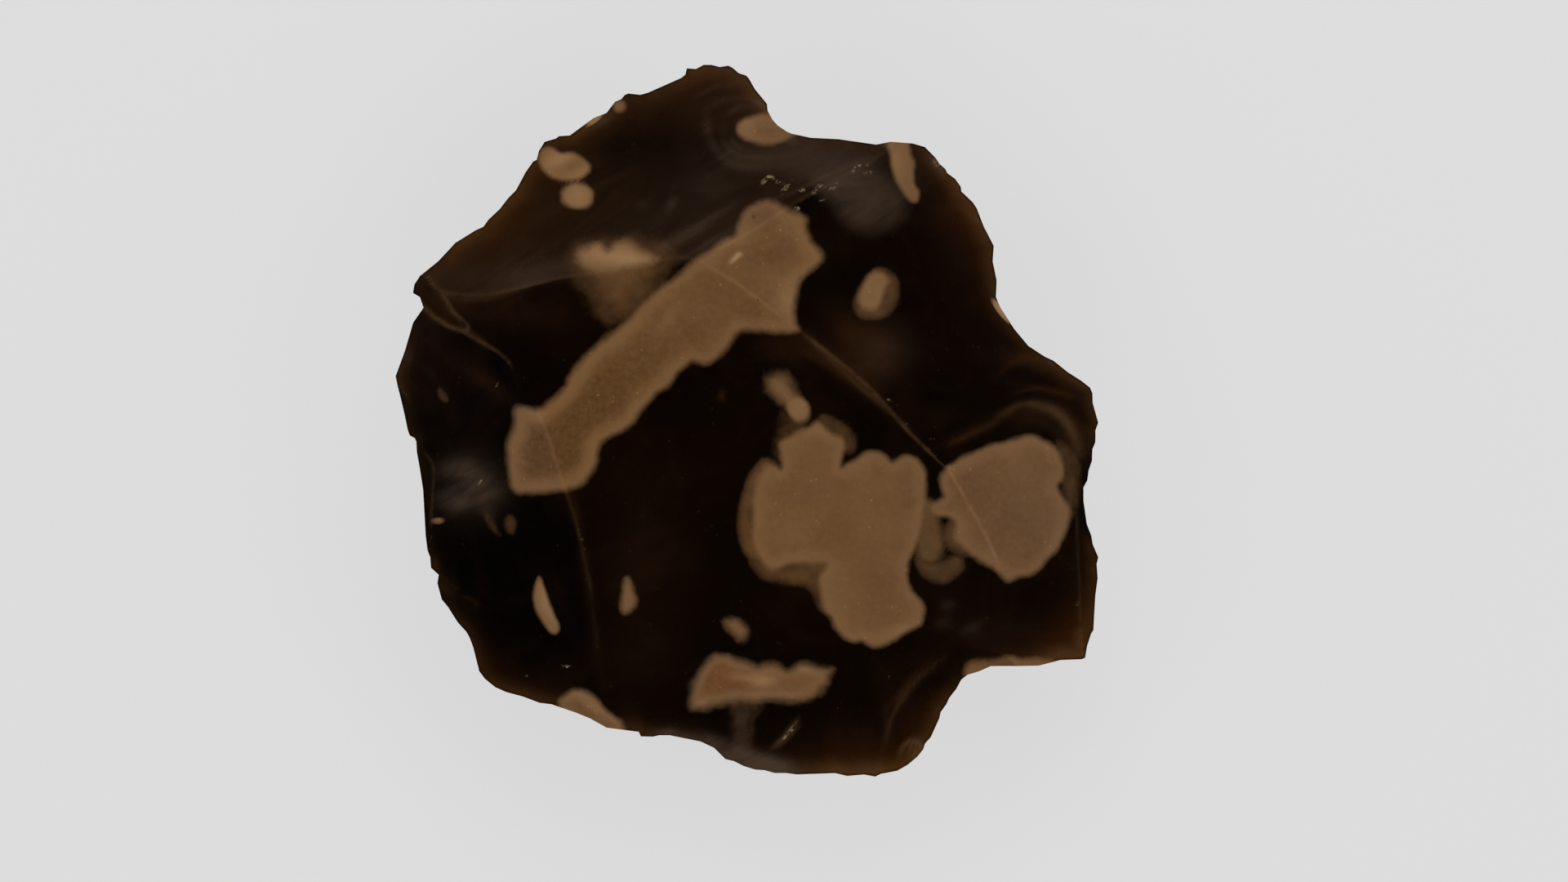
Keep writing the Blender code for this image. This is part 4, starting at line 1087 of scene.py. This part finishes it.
bone_depth = signed_distance(point_x, point_y, closed_curve(BONE[1]))
lower_end = smooth_share((BROWN_MIDDLE - (point_x + point_y)) / BROWN_SPAN)
bone_core = smooth_share((bone_depth - BONE_CORE_IN) / BONE_CORE_SOFTNESS)
bone_core *= LEAST_BROWN + MORE_BROWN * lower_end
bar_depth = signed_distance(point_x, point_y, closed_curve(T_BAR[1]))
bar_core = BAR_AMBER * smooth_share((bar_depth - BAR_CORE_IN) / BAR_CORE_SOFTNESS)
bar_core *= smooth_share((AMBER_UP_TO - point_x) / AMBER_SOFTNESS)
print("deepest in the bone, mm:", round(float(bone_depth.max()), 1))

# %% [markdown]
# The underside can't be seen in the photo. The bodies of the flaking face run on a little way round the
# edge, and a few buried ones are cut by the surface: ellipsoids, whose places are bent by sines so that
# their outlines are lobed as the others are.

# %% Buried bodies on the underside: centre and half sizes
NODULES = [
    (-20, -22, 8, 7, 5, 6), (24, 12, 9, 9, 6, 6), (6, 33, 12, 8, 5, 6), (-34, 12, 14, 6, 8, 7),
    (16, -33, 9, 9, 6, 7), (38, -20, 14, 5, 7, 7), (-8, -38, 14, 6, 4, 5), (-22, 30, 14, 4, 4, 4),
    (30, -4, 5, 4, 3, 5),
]
RUN_ON, RUN_ON_FADE = 2.0, 2.0  # how deep a body counts past the edge, and how fast it ends there
NODULE_RIM, NODULE_DEPTH = 8.0, 0.8  # turn an ellipsoid's scaled distance into millimetres
LOBE, SCALLOP = 1.3, 0.5  # how far broad and fine sines bend a place

nodule = np.full(len(point_x), -FAR)
lobed_x = point_x + LOBE * np.sin(point_y / 2.4 + point_z / 3) + SCALLOP * np.sin(point_y / 0.9 + 1)
lobed_y = point_y + LOBE * np.sin(point_x / 2.8 - point_z / 4) + SCALLOP * np.sin(point_x / 1.1 + 2)
for x, y, z, half_x, half_y, half_z in NODULES:
    scaled = ((lobed_x - x) / half_x) ** 2 + ((lobed_y - y) / half_y) ** 2
    scaled = np.sqrt(scaled + ((point_z - z) / half_z) ** 2)
    nodule = np.maximum(nodule, (1 - scaled) * NODULE_RIM)
cut_off = from_edge / RUN_ON_FADE
run_on, run_on_depth = np.minimum(body, RUN_ON) - cut_off, np.minimum(body_depth, RUN_ON) - cut_off
body = np.where(on_face, body, np.maximum(run_on, nodule))
body_depth = np.where(on_face, body_depth, np.maximum(run_on_depth, nodule * NODULE_DEPTH))
print("share of the underside in a pale body:", round(float((body[~on_face] > 0).mean()), 3))

# %% [markdown]
# All of it is now kept on the mesh as attributes, one number for each point, clipped to what the
# material can use. What belongs to the flaking face fades out on the underside.

# %% Masks for the material
VEIL_FADE, INNER_FADE = 3.0, 5.0  # how far past the edge a veil and the rest fade
MOST, MOST_AT_EDGE, DEEP_IN = 1.5, 1.2, 20.0  # limits of strength and of distance from the edge

inner_fade = np.where(on_face, 1, np.exp(-from_edge / INNER_FADE))
under_margin = np.concatenate([np.full(len(face_x), -FAR), cortex_margin[~border]])
MASKS = {
    "body": np.clip(body, -FAR, FAR),
    "body_depth": np.clip(body_depth, -FAR, FAR),
    "veil": np.where(on_face, veil, veil * np.exp(-from_edge / VEIL_FADE)),
    "grey_haze": np.clip(haze, 0, MOST) * inner_fade,
    "brown_glow": np.clip(glow, 0, MOST) * inner_fade,
    "pale_line": np.clip(drawn["pale_line"], 0, 1) * on_face,
    "edge_glow": np.clip(edge_glow, 0, MOST_AT_EDGE),
    "amber_core": np.clip(bells(point_x, point_y, AMBER_CORES) + bar_core, 0, 1) * inner_fade,
    # painted highlight along the ridges
    "ridge_highlight": ridge_highlight * on_face,
    "bright": np.clip(bells(point_x, point_y, BRIGHT_SPOTS), 0, MOST) * inner_fade,
    # brown cores, and painted shade below the middle ridge
    "brown_core_and_shade": np.clip(bells(point_x, point_y, BROWN_CORES_AND_SHADE) + bone_core, 0, 1) * inner_fade,
    "crushed": np.clip(bells(point_x, point_y, CRUSHED), 0, 1) * on_face,
    "from_edge": np.clip(from_edge, 0, DEEP_IN),
    "ridge_line": np.clip(ridge_line, 0, FAR),
    "grey_scar": np.clip(grey_scar * (1 - bells(point_x, point_y, DARK_PATCHES)), 0, 1),
    "dark_scar": (scar_of == SCAR_NAMES.index("left")).astype(float),
    "cortex": np.clip(under_margin, -FAR, FAR),
}
for name, values in MASKS.items():
    mesh.attributes.new(name, "FLOAT", "POINT").data.foreach_set("value", values.astype(np.float32))
print("masks:", len(MASKS))

# %% [markdown]
# ## Nodes in few words
#
# A material is a chain of small sums. These helpers add one node each, link or set its sockets, and
# return what comes out, so that the material below reads like a recipe.

# %% One node, one mask, one sum
def add_node(tree, kind, sockets=None, out=0, **settings):
    """One node with its settings. A socket is linked where the value is itself an output."""
    made = tree.nodes.new("ShaderNode" + kind)
    for name, value in settings.items():
        setattr(made, name, value)
    for key, value in (sockets or {}).items():
        if isinstance(value, bpy.types.NodeSocket):
            tree.links.new(value, made.inputs[key])
        else:
            made.inputs[key].default_value = value
    return made.outputs[out]


def mask(tree, name):
    """A number that every point of the mesh knows."""
    return add_node(tree, "Attribute", out="Fac", attribute_name=name)


def sum_of(tree, how, first, second=0.0, clamp=False):
    """One sum: ADD, SUBTRACT, MULTIPLY, MAXIMUM or another of the Math node's."""
    return add_node(tree, "Math", {0: first, 1: second}, operation=how, use_clamp=clamp)


def product(tree, *factors):
    """All the factors multiplied, two at a time."""
    result = factors[0]
    for factor in factors[1:]:
        result = sum_of(tree, "MULTIPLY", result, factor)
    return result


def broken_mask(tree, name, grain_share):
    """A mask times a share that comes from a grain, kept between 0 and 1."""
    return sum_of(tree, "MULTIPLY", mask(tree, name), grain_share, clamp=True)


# %% [markdown]
# Four more helpers make patterns: a smooth step, a mix of two colours, a grain, and a stretch that makes
# a grain run in streaks. The material is begun here too, with the place of each point as Object
# coordinates, so that no pattern slides over the stone.

# %% Steps, mixes and grains, and a new material
def ramp(tree, value, low, high, start=0.0, end=1.0):
    """A smooth step from start, at low, to end, at high."""
    sockets = {"Value": value, "From Min": low, "From Max": high, "To Min": start, "To Max": end}
    return add_node(tree, "MapRange", sockets, interpolation_type="SMOOTHSTEP")


def blend_colours(tree, share, first, second):
    """The first colour times one minus share, plus the second times share."""
    return add_node(tree, "Mix", {0: share, 6: first, 7: second}, out=2, data_type="RGBA")


def grain(tree, place, scale, detail=2.0, roughness=0.5, distortion=0.0):
    """Noise of about 1000 over scale millimetres, from 0 to 1."""
    sockets = {"Vector": place, "Scale": scale, "Detail": detail, "Roughness": roughness,
               "Distortion": distortion}
    return add_node(tree, "TexNoise", sockets)


def stretched(tree, place, degrees, stretch):
    """The place turned about the upright and stretched, so that a grain on it runs in streaks."""
    sockets = {"Vector": place, "Rotation": (0, 0, math.radians(degrees)), "Scale": stretch}
    return add_node(tree, "Mapping", sockets, vector_type="TEXTURE")


flint = bpy.data.materials.new("flint")
flint.use_nodes = True
tree = flint.node_tree
place = add_node(tree, "TexCoord", out="Object")
print("new material:", len(tree.nodes), "nodes")

# %% [markdown]
# ## Flint
#
# Fresh flint is nearly black where it is thick, brown where light gets in, amber at thin edges, and
# grey where it is clouded. Real flint scatters light inside, which is slow to render and lost in an
# export. Here the colour itself carries it: the distance from the edge and the drawn glows lift the
# near black towards brown and amber. The pale bodies lie over that, then crushed specks and ridges,
# and on the underside the chalky cortex.

# %% Colours of the flint, as linear red, green and blue
NEAR_BLACK = (0.0022, 0.0009, 0.0003, 1)
LEFT_BLACK = (0.0011, 0.0006, 0.0004, 1)
DARK_BROWN = (0.0165, 0.0059, 0.0015, 1)
GREY_BROWN = (0.0185, 0.0080, 0.0030, 1)
DEEP_AMBER = (0.030, 0.0086, 0.0010, 1)
RIM_AMBER = (0.060, 0.0232, 0.0046, 1)
HAZE = (0.053, 0.0317, 0.0188, 1)
BEIGE = (0.142, 0.069, 0.0240, 1)
PALE_RIM = (0.185, 0.096, 0.038, 1)
BODY_BROWN = (0.066, 0.0265, 0.0056, 1)
AMBER = (0.122, 0.042, 0.0080, 1)
BRIGHT = (0.300, 0.168, 0.075, 1)
VEIL_BROWN = (0.116, 0.055, 0.0190, 1)
CRUSHED_WHITE = (0.27, 0.185, 0.105, 1)
LINE_BROWN = (0.095, 0.048, 0.018, 1)
PIT_BROWN = (0.040, 0.017, 0.006, 1)
CHALK = (0.52, 0.43, 0.31, 1)
CHALK_STAIN = (0.20, 0.115, 0.055, 1)
CHALK_PIT = (0.10, 0.06, 0.035, 1)
RIND = (0.12, 0.085, 0.06, 1)
print("red of chalk over red of flint:", round(CHALK[0] / NEAR_BLACK[0]))

# %% [markdown]
# ## The layers, from the dark flint up
#
# Each layer is a function that takes the colour so far and gives it back changed. The dark flint comes
# first. Its streaks follow the crest ridge, as the grey bands of the real stone do, because one grain is
# turned and stretched before it breaks up the hazes.

# %% Dark flint
def dark_flint(tree, place):
    """Near black, lifted to brown by the glows, to amber at the thin edge and to grey by the hazes; a
    painted shadow darkens the very edge.
    """
    cloudy = grain(tree, place, 90, 4, 0.6, 0.8)
    streaky = grain(tree, stretched(tree, place, 27, (3.2, 0.7, 1.5)), 170, 6, 0.62, 1.0)
    colour = blend_colours(tree, mask(tree, "dark_scar"), NEAR_BLACK, LEFT_BLACK)
    colour = blend_colours(tree, ramp(tree, cloudy, 0.42, 0.75, 0, 0.22), colour, DARK_BROWN)
    greyed = product(tree, mask(tree, "grey_scar"), ramp(tree, streaky, 0.25, 0.75, 0.35, 0.85))
    colour = blend_colours(tree, greyed, colour, GREY_BROWN)
    glow = broken_mask(tree, "brown_glow", ramp(tree, streaky, 0.2, 0.8, 0.6, 1.2))
    colour = blend_colours(tree, glow, colour, DARK_BROWN)
    thin = broken_mask(tree, "edge_glow", ramp(tree, cloudy, 0.25, 0.75, 0.55, 1.15))
    amber = blend_colours(tree, ramp(tree, mask(tree, "from_edge"), 0.2, 3.2), RIM_AMBER, DEEP_AMBER)
    colour = blend_colours(tree, thin, colour, amber)
    # painted shade: a thin dark line along the very edge, like a contact shadow
    painted_edge_shade = ramp(tree, mask(tree, "from_edge"), 0.0, 0.45, 0.65, 0)
    colour = blend_colours(tree, painted_edge_shade, colour, NEAR_BLACK)
    haze = broken_mask(tree, "grey_haze", ramp(tree, streaky, 0.25, 0.8, 0.3, 1.0))
    colour = blend_colours(tree, haze, colour, HAZE)
    return blend_colours(tree, mask(tree, "pale_line"), colour, LINE_BROWN)


colour = dark_flint(tree, place)
print("dark flint:", len(tree.nodes), "nodes")

# %% [markdown]
# The pale bodies lie over the flint. Their rims are a smooth step of the signed distance, shaken a
# little by two grains, so that the rim is never a drawn line. Inside, a paler rim, a brown or amber core
# and fine mottling are blended one after the other. The brown cores also carry painted shade below the
# middle ridge.

# %% Pale bodies
def pale_bodies(tree, place, colour):
    """Beige inside each body's rim, paler just inside it, brown or amber in its core, with painted shade
    below the middle ridge.
    """
    fine = grain(tree, place, 1100, 3, 0.7)
    broad = grain(tree, place, 160, 3, 0.55)
    uneven = grain(tree, place, 420, 4, 0.65)
    frayed = sum_of(tree, "ADD", mask(tree, "veil"), ramp(tree, uneven, 0.2, 0.8, -0.16, 0.16))
    frayed = product(tree, frayed, ramp(tree, mask(tree, "veil"), 0.0, 0.25))
    veiled = sum_of(tree, "MULTIPLY", frayed, ramp(tree, broad, 0.25, 0.75, 0.7, 1.12), clamp=True)
    colour = blend_colours(tree, veiled, colour, VEIL_BROWN)
    wobble = sum_of(tree, "ADD", ramp(tree, broad, 0.2, 0.8, -0.4, 0.4),
                    ramp(tree, uneven, 0.2, 0.8, -0.22, 0.22))
    crisp = ramp(tree, sum_of(tree, "ADD", mask(tree, "body"), wobble), -1.0, 1.0)
    rim = ramp(tree, sum_of(tree, "ADD", mask(tree, "body_depth"), wobble), 0.3, 2.6, 0.5, 0)
    body = blend_colours(tree, ramp(tree, broad, 0.3, 0.75, 0, 0.34), BEIGE, BODY_BROWN)
    # brown cores, and painted shade on the bone below the middle ridge
    body = blend_colours(tree, mask(tree, "brown_core_and_shade"), body, BODY_BROWN)
    body = blend_colours(tree, rim, body, PALE_RIM)
    body = blend_colours(tree, mask(tree, "amber_core"), body, AMBER)
    body = blend_colours(tree, ramp(tree, fine, 0.3, 0.75, 0, 0.3), body, PALE_RIM)
    body = blend_colours(tree, ramp(tree, uneven, 0.55, 0.85, 0, 0.25), body, BODY_BROWN)
    body = blend_colours(tree, product(tree, mask(tree, "grey_haze"), 0.35), body, HAZE)
    shine = broken_mask(tree, "bright", ramp(tree, uneven, 0.2, 0.8, 0.6, 0.9))
    body = blend_colours(tree, shine, body, BRIGHT)
    return blend_colours(tree, crisp, colour, body), crisp


colour, crisp = pale_bodies(tree, place, colour)
print("with pale bodies:", len(tree.nodes), "nodes")

# %% [markdown]
# Two fine layers come on top: pale dots and dark pits in the bodies, and the painted highlight along the
# ridges with their crushed flecks. Dots come from small random cells. Only the middle of a cell shows,
# and only where a second, broader grain allows it, so the dots stand in loose groups.

# %% Specks, painted ridge highlights and crushed flecks
def cell_middles(tree, place, scale, size, softness):
    """1 within size of the middle of a random cell, falling to 0 at softness."""
    sockets = {"Vector": place, "Scale": scale, "Randomness": 1.0}
    away = add_node(tree, "TexVoronoi", sockets, out="Distance")
    return ramp(tree, away, size, softness, 1, 0)


def specks(tree, place, colour, crisp):
    """Tiny pale dots and dark pits: the middles of small cells, where a second grain allows them."""
    allowed = ramp(tree, grain(tree, place, 620, 1), 0.56, 0.66)
    pale = product(tree, cell_middles(tree, place, 900.0, 0.08, 0.22), allowed,
                   ramp(tree, crisp, 0, 1, 0.025, 0.4))
    colour = blend_colours(tree, pale, colour, BRIGHT)
    few = ramp(tree, grain(tree, place, 230, 1), 0.6, 0.66)
    dark = product(tree, cell_middles(tree, place, 300.0, 0.05, 0.15), few, crisp, 0.6)
    return blend_colours(tree, dark, colour, PIT_BROWN)


def painted_ridge_highlights(tree, place, colour, crisp):
    """A painted highlight, a soft pale line along the ridges broken by noise, and the crushed white
    specks.
    """
    broken = ramp(tree, grain(tree, place, 420, 4, 0.7), 0.25, 0.7, 0.25, 1)
    # painted highlight: a pale line on the ridges, brown on the dark flint and bright on the pale bodies
    line = ramp(tree, mask(tree, "ridge_line"), 0.0, 0.5, 1, 0)
    line = product(tree, line, mask(tree, "ridge_highlight"), ramp(tree, crisp, 0, 1, 0.55, 0.7), broken)
    colour = blend_colours(tree, line, colour, blend_colours(tree, crisp, LINE_BROWN, BRIGHT))
    slanted = stretched(tree, place, 45, (2.2, 0.8, 1.2))
    flecks = ramp(tree, grain(tree, slanted, 2300, 3, 0.7), 0.48, 0.58)
    crushed = product(tree, ramp(tree, mask(tree, "crushed"), 0.2, 0.7, 0, 0.7), flecks)
    return blend_colours(tree, crushed, colour, CRUSHED_WHITE)


colour = specks(tree, place, colour, crisp)
colour = painted_ridge_highlights(tree, place, colour, crisp)
print("with specks and worn lines:", len(tree.nodes), "nodes")

# %% [markdown]
# The cortex is the nodule's own skin: chalky, stained and rough. It shows where the skin of the
# underside lies above the scars, and a thin rind of paler flint runs round it. It is a layer of its own,
# which also gives the share that the roughness and the bump need.

# %% Cortex
def cortex(tree, place, colour, coarse):
    """Chalk with stains and pits over the rind, and the share of chalk at each point."""
    ragged = sum_of(tree, "ADD", mask(tree, "cortex"), ramp(tree, coarse, 0.2, 0.8, -0.5, 0.5))
    chalk = ramp(tree, ragged, -0.05, 0.18)
    stained = grain(tree, place, 75, 5, 0.62, 0.6)
    skin = blend_colours(tree, ramp(tree, stained, 0.42, 0.68, 0, 0.75), CHALK, CHALK_STAIN)
    skin = blend_colours(tree, ramp(tree, coarse, 0.35, 0.7, 0.3, 0), skin, CHALK_PIT)
    rind = ramp(tree, mask(tree, "cortex"), -1.6, -0.1, 0, 0.5)
    colour = blend_colours(tree, rind, colour, RIND)
    return blend_colours(tree, chalk, colour, skin), chalk


coarse = grain(tree, place, 330, 5, 0.65)
colour, chalk = cortex(tree, place, colour, coarse)
print("with cortex:", len(tree.nodes), "nodes")

# %% [markdown]
# ## One shader
#
# A Principled shader could also scatter light inside the stone, but that is slow and is lost in an
# export, so the layers above stand for it. Fresh flint has a waxy gloss, the bodies are duller, and the
# cortex is matt, so the roughness follows the same masks as the colour.

# %% Roughness, bump and the shader
GLOSSIEST, DULLEST = 0.23, 0.31  # roughness of fresh flint
BODY_DULLER, CHALK_ROUGHNESS = 0.12, 0.92
SPECULAR_LEVEL = 0.4
WAXY_SHARE, BUMP_STRENGTH, BUMP_HEIGHT = 0.25, 0.35, 0.0004

rough = ramp(tree, grain(tree, place, 260, 3), 0.3, 0.7, GLOSSIEST, DULLEST)
rough = sum_of(tree, "ADD", rough, ramp(tree, crisp, 0, 1, 0, BODY_DULLER))
rough = sum_of(tree, "MAXIMUM", rough, ramp(tree, chalk, 0, 1, 0, CHALK_ROUGHNESS))
waxy = grain(tree, place, 900, 4, 0.55)
relief = sum_of(tree, "ADD", product(tree, waxy, WAXY_SHARE), product(tree, coarse, chalk))
bump = {"Strength": BUMP_STRENGTH, "Distance": BUMP_HEIGHT, "Height": relief}
shader = tree.nodes["Principled BSDF"]
shader.inputs["Specular IOR Level"].default_value = SPECULAR_LEVEL
tree.links.new(colour, shader.inputs["Base Color"])
tree.links.new(rough, shader.inputs["Roughness"])
tree.links.new(add_node(tree, "Bump", bump, out="Normal"), shader.inputs["Normal"])
mesh.materials.append(flint)
print("flint:", len(tree.nodes), "nodes")

# %% [markdown]
# ## Floor, light and camera
#
# The stone lies on a plain pale table that glows a little, as a light table does, so the dark stone
# throws hardly any shadow. Flint is shiny, and a softbox mirrored in it would grey its black, so stones
# are often shot through crossed filters that take the reflections away. Here four softboxes light the
# stone but are left out of its reflections, and two low strips give the gloss along its steep sides.
# The camera looks straight down through a long lens, as the photo does.

# %% The pale table
FLOOR_SIZE, FLOOR_LEVEL = 3.0, -0.0002  # in metres, just below the stone
TABLE_GREY, TABLE_ROUGHNESS = (0.10, 0.10, 0.10, 1), 0.9
TABLE_GLOW = 0.625

bpy.ops.mesh.primitive_plane_add(size=FLOOR_SIZE, location=(0, 0, FLOOR_LEVEL))
floor = bpy.context.object
floor.name = "floor"
table = bpy.data.materials.new("pale_table")
table.use_nodes = True
table_shader = table.node_tree.nodes["Principled BSDF"]
for socket, value in [("Base Color", TABLE_GREY), ("Roughness", TABLE_ROUGHNESS),
                      ("Specular IOR Level", 0.0), ("Emission Color", (1, 1, 1, 1)),
                      ("Emission Strength", TABLE_GLOW)]:
    table_shader.inputs[socket].default_value = value
floor.data.materials.append(table)
floor.visible_glossy = False
print("table, m:", FLOOR_SIZE)

# %% [markdown]
# A softbox is a large flat lamp, so its shadows are soft. The four big ones stand high, one on each
# side, and only light the stone. The two strips lie low and are the only lamps that the flint mirrors:
# they draw a faint gloss on the steep sides and hardly any on the flaking face.

# %% Soft light all round, and two strips for the gloss
# name, bearing, elevation, distance, width, height, power, and whether the flint mirrors it
SOFTBOXES = [
    ("north", 90, 48, 1.0, 0.8, 0.8, 5.6, False), ("south", 270, 42, 1.0, 0.8, 0.8, 3.9, False),
    ("east", 0, 42, 1.0, 0.8, 0.8, 4.0, False), ("west", 180, 42, 1.0, 0.8, 0.8, 3.7, False),
    ("north strip", 60, 9, 0.8, 1.1, 0.16, 0.38, True), ("west strip", 200, 9, 0.8, 1.1, 0.16, 0.2, True),
]


def softbox(name, bearing, elevation, distance, width, height, power, mirrored):
    """A flat lamp turned towards the stone: x and y are distance times the cosine of the elevation."""
    lamp = bpy.data.lights.new(name, "AREA")
    lamp.shape = "RECTANGLE"
    lamp.size = width
    lamp.size_y = height
    lamp.energy = power
    holder = bpy.data.objects.new(name, lamp)
    turned, raised = math.radians(bearing), math.radians(elevation)
    level = distance * math.cos(raised)
    holder.location = (level * math.cos(turned), level * math.sin(turned), distance * math.sin(raised))
    holder.rotation_euler = (-holder.location).to_track_quat("-Z", "Y").to_euler()
    holder.visible_glossy = mirrored
    bpy.context.scene.collection.objects.link(holder)


for row in SOFTBOXES:
    softbox(*row)
print("lamps:", len(SOFTBOXES))

# %% [markdown]
# The room beyond the table has two strengths. The camera sees the same pale grey as the table, so no
# edge of the table shows. A room as bright as that would grey the flint, so the stone gets a much
# dimmer and warmer one.

# %% The room
BACKDROP = (0.73, 0.73, 0.73, 1)
DIM_ROOM = (0.009, 0.0066, 0.0046, 1)

world = bpy.data.worlds.new("studio")
world.use_nodes = True
tree = world.node_tree
backdrop = add_node(tree, "Background", {"Color": BACKDROP, "Strength": 1.0})
dim_room = add_node(tree, "Background", {"Color": DIM_ROOM, "Strength": 1.0})
seen = add_node(tree, "LightPath", out="Is Camera Ray")
both = add_node(tree, "MixShader", {0: seen, 1: dim_room, 2: backdrop})
tree.links.new(both, tree.nodes["World Output"].inputs["Surface"])
bpy.context.scene.world = world
bpy.context.scene.view_settings.view_transform = "Standard"
print("room:", len(tree.nodes), "nodes")

# %% [markdown]
# The picture shows 222.7 mm from side to side at the height of the stone's edge. The camera's height
# follows from that: it is the picture width times lens over sensor width above the edge. A long lens
# stands far away, so that the ridges don't lean outwards. The stone lies a little left of the middle
# and above it, so the camera stands a little to the right and below.

# %% The camera, straight above
LENS, SENSOR, PICTURE_WIDTH = 250.0, 36.0, 222.7
EDGE_PLANE = 24.0
CAMERA_X, CAMERA_Y = 5.2, -2.9
FARTHEST = 10  # metres that the camera sees

camera_data = bpy.data.cameras.new("camera")
camera_data.lens = LENS
camera_data.sensor_width = SENSOR
camera_data.clip_end = FARTHEST
camera = bpy.data.objects.new("camera", camera_data)
camera.location = (CAMERA_X * MM, CAMERA_Y * MM, (EDGE_PLANE + PICTURE_WIDTH * LENS / SENSOR) * MM)
bpy.context.scene.collection.objects.link(camera)
bpy.context.scene.camera = camera
print("camera height, mm:", round(camera.location.z / MM))
